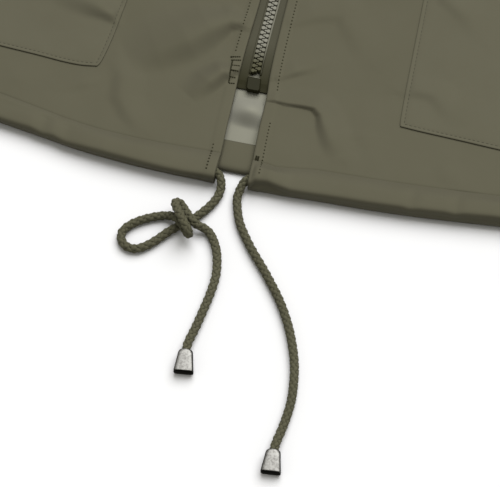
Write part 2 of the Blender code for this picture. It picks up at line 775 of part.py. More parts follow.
def cord(name, route, tip, shade):
    points = cord_points(route, tip)
    curve = bpy.data.curves.new(name, "CURVE")
    curve.dimensions = "3D"
    curve.bevel_depth = CORD_RADIUS * MM
    curve.bevel_resolution = CORD_SIDES
    curve.use_fill_caps = True
    line = curve.splines.new("POLY")
    line.points.add(len(points) - 1)
    for spot, (x, y, z) in zip(line.points, points):
        spot.co = (x * MM, (y - CENTRE_Y) * MM, z * MM, 1.0)
    curve.materials.append(shade)
    made = bpy.data.objects.new(name, curve)
    bpy.context.scene.collection.objects.link(made)
    return made


def bell_tip(name, tip, shade):
    """Hollow bell, round at its neck and squarer towards its wide end, open at both ends."""
    neck, end = np.array(tip[0]), np.array(tip[1])
    length = float(np.linalg.norm(end - neck))
    axis = (end - neck) / length
    side = np.cross(axis, (0.0, 0.0, 1.0))
    side = side / np.linalg.norm(side)
    up = np.cross(side, axis)
    loop = [(share, wide, high) for share, wide, high, bore_wide, bore_high in TIP_SECTIONS]
    loop += [(share, bore_wide, bore_high)
             for share, wide, high, bore_wide, bore_high in reversed(TIP_SECTIONS)]
    points, faces = [], []
    for share, wide, high in loop:
        power = 1.0 + (TIP_SQUARE - 1.0) * min(share / TIP_ROUND_SHARE, 1.0)
        for k in range(TIP_SIDES):
            angle = 2.0 * math.pi * (k + 0.5) / TIP_SIDES
            over = math.copysign(abs(math.cos(angle)) ** power, math.cos(angle)) * wide
            rise = math.copysign(abs(math.sin(angle)) ** power, math.sin(angle)) * high
            points.append(neck + axis * length * share + side * over + up * rise)
    count = len(loop)
    for r in range(count):
        n = (r + 1) % count
        for k in range(TIP_SIDES):
            m = (k + 1) % TIP_SIDES
            faces += quad(r * TIP_SIDES + k, r * TIP_SIDES + m, n * TIP_SIDES + m, n * TIP_SIDES + k)
    return add_object(name, points, outward(points, faces), shade)


def main():
    clear_scene()
    shell = material("shell_cloth", OLIVE, 0.6)
    pocket_shell = material("pocket_cloth", POCKET_OLIVE, 0.6)
    cloth("back", back_grid(), shell)
    for side, word in ((-1, "left"), (1, "right")):
        grid = front_grid(side)
        cloth("front_" + word, grid, shell)
        columns = front_columns(side)
        first = columns.index(pocket_share(side, POCKET_IN_X))
        last = columns.index(pocket_share(side, POCKET_OUT_X))
        low = len(FRONT_CASING) + FRONT_ROWS.index(POCKET_LOW_Y)
        high = len(FRONT_CASING) + FRONT_ROWS.index(POCKET_TOP_Y)
        normal = grid_normals(grid, False)
        normal = normal * np.sign(normal[low, first, 2])
        part = (slice(low, high + 1), slice(first, last + 1))
        patch("pocket_" + word, grid[part], normal[part], pocket_shell)
        cloth("sleeve_" + word, sleeve_grid(side), shell, closed=True)
    cloth("collar", collar_grid(), shell)
    zip_parts()
    line = material("drawcord_braid", CORD_OLIVE, 0.75)
    bell = material("tip_metal", STEEL, 0.22, 1.0)
    cord("drawcord_left", LEFT_ROUTE, LEFT_TIP, line)
    cord("drawcord_right", RIGHT_ROUTE, RIGHT_TIP, line)
    bell_tip("tip_left", LEFT_TIP, bell)
    bell_tip("tip_right", RIGHT_TIP, bell)


main()
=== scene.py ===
import math

import bmesh
import bpy
import numpy as np
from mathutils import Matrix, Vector


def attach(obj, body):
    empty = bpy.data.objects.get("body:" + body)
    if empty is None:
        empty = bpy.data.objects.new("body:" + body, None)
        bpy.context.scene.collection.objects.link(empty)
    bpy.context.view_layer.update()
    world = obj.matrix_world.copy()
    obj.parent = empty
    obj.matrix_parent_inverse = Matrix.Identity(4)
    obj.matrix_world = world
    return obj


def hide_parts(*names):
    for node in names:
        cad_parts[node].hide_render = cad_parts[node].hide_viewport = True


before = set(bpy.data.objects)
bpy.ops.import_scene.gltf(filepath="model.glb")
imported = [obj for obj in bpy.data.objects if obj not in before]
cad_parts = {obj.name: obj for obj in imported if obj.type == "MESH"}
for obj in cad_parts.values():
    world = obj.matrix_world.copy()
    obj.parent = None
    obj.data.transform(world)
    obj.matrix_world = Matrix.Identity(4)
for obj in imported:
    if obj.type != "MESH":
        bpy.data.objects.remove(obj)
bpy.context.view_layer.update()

# Sizes are in millimetres: x across the body, y from the hem at the zip towards the collar, z up.
MM = 0.001
CENTRE_Y = 386.3
MIDDLE = np.array((0.0, CENTRE_Y, 0.0))
UP = (0.0, 0.0, 1.0)
SIDES = ((-1, "left"), (1, "right"))
TINY = 1e-9
BODY = "jacket"

# Camera: heading from the zip line, height above the surface, what it looks at, distance, lens
CAMERA_TURN = 12.9
CAMERA_RISE = 61.0
CAMERA_AIM = (18.0, -25.5, 0.0)
CAMERA_AWAY = 1111.1
CAMERA_LENS = 180.0
SENSOR = 36.0
# Nearest and farthest distance that it shows, in metres
CAMERA_CLIP = (0.05, 100.0)

# Body outline, right half
SIDE_HEM_X = 285.0
SIDE_HEM_Y = 21.0
ARMPIT = (268.0, 430.0)
SHOULDER = (226.0, 662.0)
NECK = (86.0, 712.0)
FRONT_NECK_Y = 640.0
BACK_NECK_Y = 697.0
ARMHOLE_PULL = ((228.0, 470.0), (214.0, 560.0))
FRONT_NECK_PULL = ((48.0, 640.0), (84.0, 668.0))
BACK_NECK_PULL = ((40.0, 697.0), (70.0, 702.0))
NECK_COLUMN = 0.47

# Hem line: distance from the zip, rise of the hem on the left, rise on the right
HEM_RISE = (
    (0, 0, 0), (25, 0.1, 0.2), (45, 0.9, 1), (68, 3, 1.7), (90, 6.5, 3.1), (116, 10.4, 5.5),
    (200, 18, 14), (290, 22, 20),
)

# Front edges and zip: height, left edge, middle of the zip, right edge
FRONT_EDGE = (
    (0, -4.2, 3.2, 10.8), (14, -4.3, 2.8, 10.1), (30, -5, 2.4, 9.2), (50, -5.7, 1.9, 8.6),
    (58, -6.1, 1, 7.8), (70, -6.2, 0.4, 7.1), (100, -5.7, 0.3, 6.5), (160, -6, 0, 6), (710, -6, 0, 6),
)

# Front casing from the turned-in edge round the hem to the stitch line: height above the hem, z
CASING_DEPTH = 14.0
STITCH_Z = 5.3
FRONT_CASING = (
    (16, 3.9), (11.5, 3.9), (7.2, 3.6), (4.2, 1.6), (2.2, 0.9), (0.8, 1.5), (0.4, 3.2), (0.4, 5.9),
    (0.7, 7.15), (1.6, 7.72), (3.8, 7.85), (8, 7.55), (11, 6.7), (13, 5.75), (14, STITCH_Z),
)
CASING_TOP_ROW = 8
CASING_FINE = 12
FRONT_CASING_STEP = 0.4

# Back casing from the turned-up edge round the hem: height above the back's own hem, z
BACK_HEM_SET = 7.7
BACK_CASING = (
    (15.6, 2), (14, 2.2), (10, 2.5), (5, 2.6), (1.8, 2.4), (0.5, 1.45), (1.6, 0.5), (8, 0.45),
)
BACK_CASING_STEP = 0.7
BACK_LOW_Y = BACK_HEM_SET + BACK_CASING[-1][0]

# Cloth thickness, and the band along the front edges over which it changes
CLOTH = 0.7
EDGE_CLOTH = 1.05
BACK_CLOTH = 0.8
COLLAR_CLOTH = 0.9
EDGE_BAND = (4.2, 5.4)
RIM_TURNS = np.pi * np.array((0.25, 0.5, 0.75))

# Lie of the cloth: heights, and distances over which it eases from one to another
BACK_Z = 0.5
SEAM_Z = 1.8
OPEN_Z = 3.7
ARMHOLE_RISE = 1.4
COLLAR_LIFT = 1.6
LIFT_Y = (600.0, 655.0)
EASE = 55.0
HEM_EASE = 46.0
CREASE_SIDE = 12.0
CREASE_TOP = 20.0
EDGE_INSET = 0.6
# Heights between which the curve of the hem fades out of the fronts and the back
FRONT_FADES = (CASING_DEPTH, 47.0)
BACK_FADES = (30.0, 180.0)
# Stitch grooves: depth and half width, and the z above which they show
EDGE_GROOVE = (0.07, 0.7)
EDGE_GROOVE_FROM = 3.0
HEM_GROOVE = (0.16, 0.5)
HEM_GROOVE_FROM = 4.6
# Ripple of the back: middle, half width, height, crest line and the widths of its two slopes
RIPPLE_X = 3.0
RIPPLE_WIDTH = 8.2
RIPPLE_HEIGHT = 4.6
RIPPLE_CREST = 39.6
RIPPLE_TILT = -0.06
RIPPLE_FALLS = (7.6, 10.5)

# Grid lines of the cloth, in stretches: end, step at the start, step at the end
FRONT_COLUMNS = ((8.0, 0.6, 0.8), (50.0, 0.9, 1.0), (126.0, 1.5, 1.7), (276.0, 2.2, 6.5))
FRONT_LEVELS = (
    (2, 0.35, 0.5), (6, 0.7, 1.2), (24, 1.3, 1.1), (35.5, 0.5, 0.5), (98, 1.1, 1.7),
    (ARMPIT[1] - CASING_DEPTH, 2, 7.5),
)
FRONT_UPPER_ROWS = 37
BACK_COLUMNS = ((16.0, 1.0, 1.0), (SIDE_HEM_X, 1.5, 12.0))
BACK_LEVELS = ((42.0, 1.0, 1.2), (ARMPIT[1] - BACK_LOW_Y, 2.0, 14.0))
BACK_UPPER_ROWS = 25
POCKET_COLUMNS = ((3.0, 0.5, 0.8), (60.0, 1.4, 1.8), (164.0, 2.4, 4.0), (170.0, 0.8, 0.8))
POCKET_ROWS = ((3.0, 0.5, 0.8), (70.0, 1.4, 1.8), (182.0, 2.4, 4.0), (188.0, 0.8, 0.8))

# Creases of the fronts. Each row: x, y, height, width of the side towards the hem, width of the far side
CREASES = (
    # left front, from the topstitching down to the left
    ((-8.9, 83.2, 0.6, 1.2, 6), (-12, 84.6, 1.8, 3.2, 9), (-17, 84.4, 2.6, 6, 12),
     (-25, 78.5, 3.5, 11, 19), (-34, 70, 3.5, 13, 24), (-46, 61.5, 2.2, 13, 24), (-58, 54, 0.2, 11, 20)),
    # left front, from the bar tack
    ((-10.8, 57.2, 2, 3.8, 8), (-14, 56, 2.9, 5.6, 9), (-18.8, 50, 2.5, 6.6, 11),
     (-25.5, 40.5, 0.2, 6.6, 11)),
    # left front, upright fold below the pocket's corner
    ((-63, 52, 0.3, 6, 10), (-57.5, 43, 1, 6.5, 12), (-56, 33, 1, 6.5, 12), (-51, 26, 0.9, 6, 11),
     (-43, 19.5, 0.2, 6, 10)),
    ((-66, 43, 0.3, 5, 10), (-74, 37, 0.7, 5, 12), (-84, 32.5, 0.2, 6, 12)),
    # left pocket, short crease by its edge
    ((-68.6, 72.6, 0.4, 1.2, 4), (-71.8, 75.4, 1.9, 3.4, 8), (-79, 78.8, 2.3, 7.5, 13),
     (-90, 82.5, 1.5, 10, 16), (-104, 87, 0.2, 10, 16)),
    # right front, sharp crease from the edge, then a soft fold down to the hem
    ((9.4, 46.6, 0.4, 0.6, 6), (13, 47, 0.9, 0.6, 8), (18, 46.6, 1.2, 0.7, 10), (26, 47, 1.4, 0.8, 12),
     (31.3, 46.8, 1.8, 1.2, 12), (35, 43.8, 2, 2.4, 12), (38, 38.4, 1.9, 4.6, 12),
     (42.5, 31.5, 1.5, 6.4, 12), (47.6, 25, 0.3, 6.5, 10)),
    # right front, from the end of the zip
    ((12, 60, 0.5, 2.4, 8), (19, 64.6, 1, 2.6, 9), (28.5, 70, 0.2, 3, 9)),
    # right front, high soft fold
    ((13, 92, 0.4, 4, 9), (21, 97, 0.8, 5, 12), (33, 101, 0.7, 6, 14), (50, 80, 0.2, 8, 14)),
    # right pocket
    ((70, 65, 0.3, 4, 10), (75, 66.5, 0.8, 4, 11), (83, 66.5, 0.8, 5, 12), (95, 57, 0.2, 7, 12)),
    ((78, 120, 0.9, 4, 10), (90, 112, 0.6, 6, 12), (98, 102, 0.2, 7, 12)),
    # faint folds along the hem
    ((60, 50, 0.1, 7, 12), (58, 38, 0.4, 7, 12), (66, 24, 0.1, 7, 12)),
    ((92, 34, 0.1, 7, 12), (98, 26, 0.4, 7, 12), (108, 20, 0.1, 7, 10)),
    ((-98, 40, 0.1, 7, 14), (-106, 33, 0.4, 7, 14), (-112, 27, 0.1, 7, 14)),
    # chest, armhole and side folds out of the picture
    ((-20, 210, 0.6, 8, 20), (-70, 250, 2.9, 9, 26), (-140, 300, 3.1, 9, 28), (-200, 330, 0.6, 9, 24)),
    ((16, 180, 0.6, 8, 20), (60, 250, 2.7, 9, 28), (130, 290, 3, 9, 28), (215, 310, 0.6, 9, 24)),
    ((-60, 330, 0.6, 9, 22), (-130, 380, 3.6, 9, 30), (-215, 425, 1.2, 8, 24)),
    ((50, 360, 0.6, 9, 22), (120, 395, 3.7, 9, 28), (210, 432, 1.2, 8, 24)),
    ((-70, 600, 0.6, 9, 20), (-120, 540, 3.2, 9, 26), (-180, 470, 1.2, 8, 22)),
    ((80, 610, 0.6, 9, 20), (130, 550, 3.3, 9, 26), (190, 478, 1.2, 8, 22)),
    ((-14, 470, 0.6, 7, 18), (-50, 440, 2.3, 8, 22), (-100, 450, 0.4, 8, 20)),
    ((14, 520, 0.6, 7, 18), (52, 490, 2.1, 8, 22), (104, 500, 0.4, 8, 20)),
    ((-230, 60, 0.5, 7, 18), (-255, 120, 2, 8, 22), (-250, 200, 0.5, 8, 20)),
    ((235, 55, 0.5, 7, 18), (252, 140, 2, 8, 22), (256, 220, 0.5, 8, 20)),
)

# Hem roll: x, how far its face leans back from the edge, change of its height
HEM_FACE = (
    (-290, 0, -0.6), (-200, -0.1, -0.4), (-140, -0.3, -1), (-104, -0.5, -1.3), (-92, -0.1, -0.9),
    (-86, -0.7, -1.5), (-81, -0.2, -0.8), (-75, -1, -1.2), (-67, -0.7, -0.5), (-57, -0.6, 0),
    (-47, -0.6, 0), (-38, -0.7, -0.1), (-29, -0.9, -0.2), (-19, -0.9, -0.2), (-10, -0.5, 0),
    (12, 0, -0.2), (13.5, 1.5, 0.6), (19.5, 1.8, 1), (24.5, 0.9, 0.4), (30, 0, -0.2), (40, 0, -0.3),
    (52, 0.2, -0.2), (66, 0.3, 0), (80, 0.4, 0.1), (84, 0, -0.4), (88, 0.4, 0.1), (100, 0.5, 0.2),
    (104, 0.1, -0.3), (108, 0.6, 0.3), (120, 0.8, 0.5), (150, 0.4, 0.2), (200, 0.3, -0.3),
    (290, 0.2, -0.5),
)
# Heights above the hem between which the lean and the change of height fade out
FACE_FADES = ((2.0, 12.0), (8.0, 14.0))
# Part of the face, by its z, over which they set in
FACE_STARTS = (2.0, 6.5)
# Hem stitching: x, height above the hem
HEM_STITCH = (
    (-290, 14), (-110, 12.9), (-80, 11.8), (-60, 11.9), (-43, 12.4), (-25, 13.2), (-12, 13.8),
    (12, 13.7), (17, 12.9), (21, 12.2), (26, 12.7), (38, 14), (60, 14.3), (85, 14.3), (122, 13.8),
    (290, 14),
)
# Heights at which the stitching starts to pull the cloth, and between which that fades out
HEM_STITCH_FROM = 3.0
STITCH_FADES = (CASING_DEPTH, 26.0)

# Patch pockets: height above the low edge, inner edge on the left, on the right
POCKET_EDGE = ((0, 70.1, 71.3), (14.5, 68.3, 70.6), (38, 66.8, 69.8), (188, 63.5, 65.5))
# Low edge of the pockets: distance from the zip, height on the left, on the right
POCKET_LOW = (
    (64, 48, 46.7), (70, 47.2, 46.4), (79, 46, 45.8), (102, 47.1, 44.8), (118, 48, 44), (180, 52, 43),
    (240, 56, 44),
)
# How far the low inner corner is rounded off, by side: width, height
POCKET_CORNERS = {-1: (1.0, 1.6), 1: (0.5, 1.2)}
POCKET_BASE_Y = 46.0
POCKET_OUT_X = 240.0
POCKET_TOP_Y = 235.0
POCKET_LIFT = 0.1
POCKET_WALL = 0.45
POCKET_PUFF = 0.45
POCKET_PUFF_RUN = 22.0
POCKET_SEAM = 1.7
POCKET_GROOVE = (0.16, 0.6)

# Sleeves
SLEEVE_LENGTH = 610.0
SLEEVE_TURN = 45.0
CUFF_WIDTH = 118.0
SLEEVE_TOP_Z = 2.95
SLEEVE_BOW = 14.0
SLEEVE_EDGE_Z = 2.5
SLEEVE_RIM = 10.0
SEAM_GAP = 0.3
SLEEVE_POINTS = 56
SLEEVE_LOOPS = 96
# Shares of the length over which the creases set in and fade out, and how much of them is kept
SLEEVE_START = 0.1
SLEEVE_END = 0.06
SLEEVE_END_KEEP = 0.35
# Folded edges of the sleeves and the collar
FOLD_OUT = 1.2
FOLD_POINTS = 9
# How the creases lie on each sleeve: shift along it, spread across it
SLEEVE_SHIFTS = {-1: (0.0, 1.0), 1: (18.0, 0.92)}
# Creases of the sleeves: distance along, distance across, height, near width, far width
SLEEVE_CREASES = (
    ((12, 30, 0.6, 6, 16), (70, 95, 3.6, 8, 24), (120, 160, 0.8, 7, 20)),
    ((20, 10, 0.6, 6, 14), (110, 50, 3.2, 8, 22), (190, 110, 0.7, 7, 20)),
    ((200, 20, 0.6, 7, 16), (250, 70, 2.8, 8, 22), (270, 130, 0.6, 7, 20)),
    ((290, 15, 0.6, 6, 14), (330, 55, 3.5, 7, 20), (390, 100, 0.7, 7, 18)),
    ((360, 10, 0.6, 6, 14), (390, 45, 2.7, 6, 18), (440, 80, 0.6, 6, 16)),
    ((460, 20, 0.5, 6, 14), (490, 60, 2.5, 6, 18), (540, 95, 0.6, 6, 16)),
)

# Collar
COLLAR_HEIGHT = 65.0
COLLAR_BACK_HEIGHT = 60.0
COLLAR_LEAN = 6.0
COLLAR_SIDE_Z = 3.0
COLLAR_GAP = 0.3
COLLAR_BACK_GAP = 0.25
COLLAR_INSET = 0.5
COLLAR_WAVE = 0.7
COLLAR_WAVES = 7.0
COLLAR_FRONT_POINTS = 60
COLLAR_BACK_POINTS = 40
COLLAR_ROWS = 30

# Zip
TAPE_LOW_Y = 52.1
ZIP_TOP_Y = 703.0
TAPE_IN = 2.2
TAPE_OUT = 13.0
TAPE_LIFT = 1.0
TAPE_THICK = 0.6
TAPE_END = (TAPE_LOW_Y, TAPE_LOW_Y + 5.0)
TAPE_END_DROP = 1.1
TAPE_STRETCHES = ((TAPE_LOW_Y, 160.0, 2.0), (160.0, 600.0, 20.0), (600.0, ZIP_TOP_Y + 0.1, 5.0))
TEETH_LOW_Y = 61.8
TEETH_TOP_Y = 692.5
TOOTH_PITCH = 2.66
TOOTH_BODY_X = 1.36
TOOTH_BODY = (0.86, 0.98)
TOOTH_SQUARE = 0.72
TOOTH_NECK = (0.46, 0.36)
TOOTH_HEAD_X = -0.05
TOOTH_HEAD_R = 0.52
TOOTH_THICK = 2.5
TOOTH_BODY_TURNS = (-150, -120, -95, -70, -45, -20, 20, 45, 70, 95, 120, 150)
TOOTH_HEAD_TURNS = (60, 100, 140, 180, 220, 260, 300)
# Layers of a tooth: share of its outline, share of its thickness
TOOTH_LAYERS = ((0.96, -0.5), (1.0, -0.42), (1.0, 0.4), (0.95, 0.48), (0.88, 0.5))
LEAN_REACH = 2.0
EDGE_CORD_X = 2.55
EDGE_CORD_R = 0.5
BEAD_LOW_Y = 58.5
BEAD_LIFT = 0.1
TUBE_SIDES = 8
ZIP_BASE_Z = 1.3
BOX_LOW_Y = 50.9
BOX_HIGH_Y = 58.1
BOX_HALF = 3.1
BOX_THICK = 3.0
BOX_OUTLINE = ((-1, -0.8), (-0.8, -1), (0.8, -1), (1, -0.8), (1, 0.95), (0.95, 1), (-0.95, 1), (-1, 0.95))
# Layers of the box: share of its width, share of its length, height
BOX_LAYERS = ((0.86, 0.91, 0.0), (1.0, 1.0, 0.5), (1.0, 1.0, BOX_THICK - 0.6), (0.9, 0.95, BOX_THICK))
LIP_HALF = BOX_HALF * 0.92
LIP_IN = 0.5
LIP_LIFT = 0.05
LIP_R = 0.25
# Rounding of the slider's edges, in metres
SLIDER_ROUND = 0.00025

# Stitching
STITCH = 2.1
STITCH_SHOWN = 1.55
STITCH_START = 0.4
STITCH_REACH = 0.35
THREAD = 0.17
THREAD_SIDES = 5
THREAD_SAG = 0.9
# Loops of a stitch: share along it, share of its radius
THREAD_LOOPS = ((-0.5, 0.35), (-0.3, 0.95), (0.3, 0.95), (0.5, 0.35))
HEM_STITCH_IN = 1.0
HEM_STITCH_OUT = 4.0
HEM_STITCH_SINK = 0.24
HEM_STITCH_POINTS = 300
POCKET_STITCH_IN = 1.8
POCKET_STITCH_X = 72.5
POCKET_STITCH_Y = (1.8, 186.0)
POCKET_STITCH_SINK = 0.14
POCKET_STITCH_POINTS = 120
TOPSTITCH_IN = 4.5
MARK_PITCH = 1.85
MARK_LENGTH = 0.95
MARK_R = 0.48
MARK_SINK = 0.12
MARK_SPACING = 1.5
MARK_POINTS = 12
CASING_SWELL = 0.18
TACK_PITCH = 0.95
TACK_R = 0.38
TACK_LENGTH = TACK_PITCH * 1.05
TACK_LIFT = 0.1
TACK_POINTS = 16
# Stretches of the topstitching whose needle marks show: low end, high end
TOPSTITCH_RUNS = {
    "left": ((2, 19), (69, 634)),
    "right": ((4.5, 36), (52, 634)),
}
# Bar tacks: x and y of the start, x and y of the end
BAR_TACKS = {
    "left": (
        (-12.3, 66.3, -6.9, 67.5), (-11.6, 64.6, -6.9, 65.6), (-10.9, 64.7, -9.8, 52),
        (-10.5, 61.4, -6.8, 62.2), (-10.2, 58.2, -6.6, 58.9), (-10, 55.2, -6.4, 55.8),
        (-9.8, 52, -6.2, 52.5),
    ),
    "right": tuple((11.1, 15.9 - 0.5 * n, 13.8, 15.6 - 0.5 * n) for n in range(5)),
}

# Drawcords
BRAID_STRANDS = 4
BRAID_LEAD = 13.5
STRAND_RING = 1.2
STRAND_WEAVE = 0.32
STRAND_WIDE = 0.9
STRAND_THICK = 0.62
STRAND_SIDES = 8
CORD_SAMPLE = 0.5
CORD_FINE = 40
CORE_R = 1.15
CORE_SIDES = 10
# Routes out of the casings, the left one under the knot, round the loop and through the knot to its free end.
# A point without a height lies on the floor.
CORD_LIE = 2.05
LEFT_ROUTE = (
    (-30, 5, 5.15), (-18, 4.8, 5.15), (-9, 4.6, 5.15), (-3.8, 3.9, 4.8), (-1.4, 0.9, 3.8),
    (-0.7, -2.6, 2.5), (-1.2, -6.4), (-2.7, -10.4), (-4.9, -14.2), (-7.3, -17.6), (-9.9, -20.8),
    (-12.7, -23.4), (-15.6, -25.9), (-18.8, -29.2), (-22.3, -33.7), (-26.2, -37.8), (-30.3, -40.4),
    (-34.6, -40.3), (-37.8, -37.5), (-38.4, -33.4), (-36.2, -29.6), (-32.7, -26.5), (-28.5, -23.9),
    (-24.4, -22), (-20.8, -21.2, 2.5), (-17.7, -22, 4.3), (-15.1, -24, 6), (-12.5, -26.4, 6.2),
    (-10.3, -28.8, 5.6), (-9, -30.4, 6.4), (-8.5, -31, 8.2), (-9, -30.4, 10), (-10.3, -28.8, 10.8),
    (-12.2, -26.4, 10.8), (-14.6, -23.2, 10.5), (-16.6, -20.2, 9.7), (-17.9, -17.6, 8.4),
    (-17.7, -15.9, 6.8), (-16.3, -15.4, 5.4), (-14.4, -16.9, 4.9), (-11.9, -20, 6), (-9.3, -22.7, 6.3),
    (-6.7, -24, 4.9), (-3.8, -24, 3.2), (-1, -25, 2.2), (1.4, -27.6), (3.7, -31.5), (5.6, -36.6),
    (7.2, -45.4), (6.9, -54.5), (5.8, -63.5), (4.4, -73.4, 2.3), (3.2, -80.5, 2.9),
)
LEFT_TIP = ((3.2, -85.0, 3.0), (4.5, -95.1, 2.55))
RIGHT_ROUTE = (
    (36, 5.2, 5.15), (24, 4.8, 5.15), (15, 4.5, 5.15), (10.4, 3.8, 4.8), (8.5, 1.2, 3.8),
    (7.6, -2.6, 2.5), (7.7, -6.6), (10.8, -16), (15.4, -23.6), (20.5, -30.4), (26.1, -37), (29.5, -41.2),
    (37.7, -52.3), (44.4, -64.4), (49.4, -77.5), (51.7, -88), (52.7, -98.7), (52, -109.6, 2.3),
    (50.9, -117.6, 2.9),
)
RIGHT_TIP = ((50.5, -122.7, 3.0), (51.45, -132.7, 2.55))
CORD_IN_TIP = 0.36
# Flattened bell tip: share of its length, half width, half height, bore half width, bore half height
TIP_SECTIONS = (
    (0, 2.45, 2.45, 2.15, 2.15), (0.012, 2.75, 2.62, 2.2, 2.2), (0.04, 3, 2.78, 2.3, 2.3),
    (0.09, 3.18, 2.87, 2.42, 2.42), (0.2, 3.34, 2.9, 2.42, 2.42), (0.44, 3.6, 2.8, 2.42, 2.32),
    (0.47, 3.64, 2.77, 3.12, 2.28), (0.7, 3.98, 2.65, 3.5, 2.17), (0.9, 4.26, 2.54, 3.8, 2.08),
    (0.965, 4.34, 2.5, 3.92, 2.06), (0.99, 4.33, 2.48, 4, 2.12), (1, 4.26, 2.42, 4.1, 2.22),
)
TIP_SQUARE = 0.42
TIP_ROUND_SHARE = 0.16
TIP_SIDES = 48

# Colours, linear
OLIVE = (0.056, 0.0525, 0.038)
OLIVE_DEEP = (0.053, 0.0495, 0.0355)
POCKET_OLIVE = (0.06, 0.0565, 0.0415)
HAZE = (1.0, 0.98, 0.55)
PALE = (0.152, 0.15, 0.127)
PALE_DEEP = (0.142, 0.14, 0.116)
TAPE = (0.044, 0.0418, 0.027)
# Painted shade at the low end of the zip, for the tape and the beads
TAPE_PAINTED_SHADE = (0.017, 0.016, 0.0055)
TOOTH = (0.15, 0.147, 0.12)
# Painted shade at the low end of the teeth
TOOTH_PAINTED_SHADE = (0.046, 0.044, 0.022)
# Painted highlight: the right bead is lighter than the tape, where light catches it
BEAD_PAINTED_HIGHLIGHT = (0.105, 0.102, 0.077)
BOX = (0.0125, 0.012, 0.0042)
LIP = (0.075, 0.072, 0.052)
# Painted shade: the bar tacks are darker than their thread, for the shadow between their stitches
TACK = (0.015, 0.014, 0.006)
# Painted shade: the dark inside of the tips' bore
HOLLOW_PAINTED_SHADE = (0.02, 0.02, 0.018)
CORD = (0.067, 0.0645, 0.043)
CORD_DEEP = (0.057, 0.0545, 0.036)
# Painted shade: the stitching is darker than its thread, for the shadow in the stitched groove
THREAD_PAINTED_SHADE = (0.028, 0.0265, 0.016)
# Painted shade: the needle marks are dark dots for the shade where the stitches sink into the cloth
MARK_PAINTED_SHADE = (0.02, 0.0188, 0.009)
STEEL = (0.205, 0.202, 0.192)
STEEL_WORN = (0.125, 0.122, 0.115)
# Painted shade: dark colour on the tips' flanks, for the shadowed floor they reflect
STEEL_FLANK_PAINTED_SHADE = (0.02, 0.019, 0.016)
FLOOR = (0.57, 0.57, 0.582)

# Heights between which painted shade darkens the low end of the zip
TAPE_SHADE_SPAN = (57.0, 78.0)
TEETH_SHADE_SPAN = (66.0, 78.0)

# Weaves, unevenness, scuffs and the painted shade on the flanks of the finishes
CLOTH_WEAVE = 900.0
CORD_WEAVE = 2400.0
WEAVE_HEIGHT = 0.0001
SAG = {"Scale": 55.0, "Detail": 2.0, "Roughness": 0.5}
SAG_HEIGHT = 0.001
MOTTLE = {"Scale": 45.0, "Detail": 4.0, "Roughness": 0.55}
MOTTLE_ENDS = (0.3, 0.7)
SCUFF = {"Scale": 900.0, "Detail": 4.0, "Roughness": 0.65}
SCUFF_ENDS = (0.38, 0.55)
FLANK_SHADE_ENDS = (0.7, 0.9)
STEEL_ROUGH = 0.5

# Light and floor
SUN_STRENGTH = 4.5
SUN_SOFT = 58.0
SUN_TURN = 166.0
SUN_RISE = 59.0
SKY_STRENGTH = 0.58
SKY = (1.0, 0.99, 0.9)
# Half width of the floor and its depth below the jacket, in metres
FLOOR_HALF = 30.0
FLOOR_DROP = 0.0002


def smooth(value):
    value = np.clip(value, 0.0, 1.0)
    return value * value * (3.0 - 2.0 * value)


def rising(value, start, end):
    return smooth((np.asarray(value, dtype=float) - start) / (end - start))


def fade_out(value, ends):
    return 1.0 - rising(value, *ends)


def mix(a, b, share):
    return a + (b - a) * share


def bump(away, height, width):
    return height * np.exp(-(away / width) ** 2)


def unit(vectors):
    return vectors / np.maximum(np.linalg.norm(vectors, axis=-1, keepdims=True), TINY)


def xyz(x, y, z):
    return np.stack(np.broadcast_arrays(x, y, z), axis=-1)


def shares(count):
    return np.linspace(0.0, 1.0, count)


def full_turn(count):
    return np.linspace(0, 2 * np.pi, count, endpoint=False)


def through(table, where, column):
    """Smooth curve through one column of a table against its first column, for an array."""
    xs = np.array([row[0] for row in table])
    ys = np.array([row[column] for row in table])
    where = np.clip(np.asarray(where, dtype=float), xs[0], xs[-1])
    i = np.clip(np.searchsorted(xs, where, side="right") - 1, 0, len(xs) - 2)
    rise = np.diff(ys) / np.diff(xs)
    slope = np.concatenate(([rise[0]], 0.5 * (rise[1:] + rise[:-1]), [rise[-1]]))
    step = xs[i + 1] - xs[i]
    s = (where - xs[i]) / step
    sway = step * s * (1.0 - s) * ((1.0 - s) * slope[i] - s * slope[i + 1])
    return mix(ys[i], ys[i + 1], smooth(s)) + sway


def straight(table, where, column):
    """Straight lines through one column of a table against its first column."""
    rows = np.array(table)
    return np.interp(where, rows[:, 0], rows[:, column])


def bezier(a, pulls, b, share):
    share = np.asarray(share, dtype=float)[..., None]
    a, b, p, q = (np.array(v) for v in (a, b, *pulls))
    rest = 1.0 - share
    return rest ** 3 * a + 3 * rest ** 2 * share * p + 3 * rest * share ** 2 * q + share ** 3 * b


def spline(points, count):
    """Smooth curve through points, with the same number of steps between each pair."""
    pts = np.array(points, dtype=float)
    pts = np.concatenate(([2 * pts[0] - pts[1]], pts, [2 * pts[-1] - pts[-2]]))
    t = (np.arange(count) / count)[:, None]
    fine = []
    for i in range(1, len(pts) - 2):
        a, b, c, d = pts[i - 1:i + 3]
        fine.append(0.5 * (2 * b + (c - a) * t + (2 * a - 5 * b + 4 * c - d) * t ** 2
                           + (3 * b - a - 3 * c + d) * t ** 3))
    return np.concatenate(fine + [pts[-2:-1]])


def distances(points):
    gaps = np.linalg.norm(np.diff(points, axis=0), axis=1)
    return np.concatenate(([0.0], np.cumsum(gaps)))


def at_distance(points, run, at):
    return np.stack([np.interp(at, run, column) for column in points.T], axis=-1)


def even(points, step):
    """The same line with points at even distances."""
    run = distances(points)
    count = max(2, int(round(run[-1] / step)) + 1)
    return at_distance(points, run, np.linspace(0.0, run[-1], count))


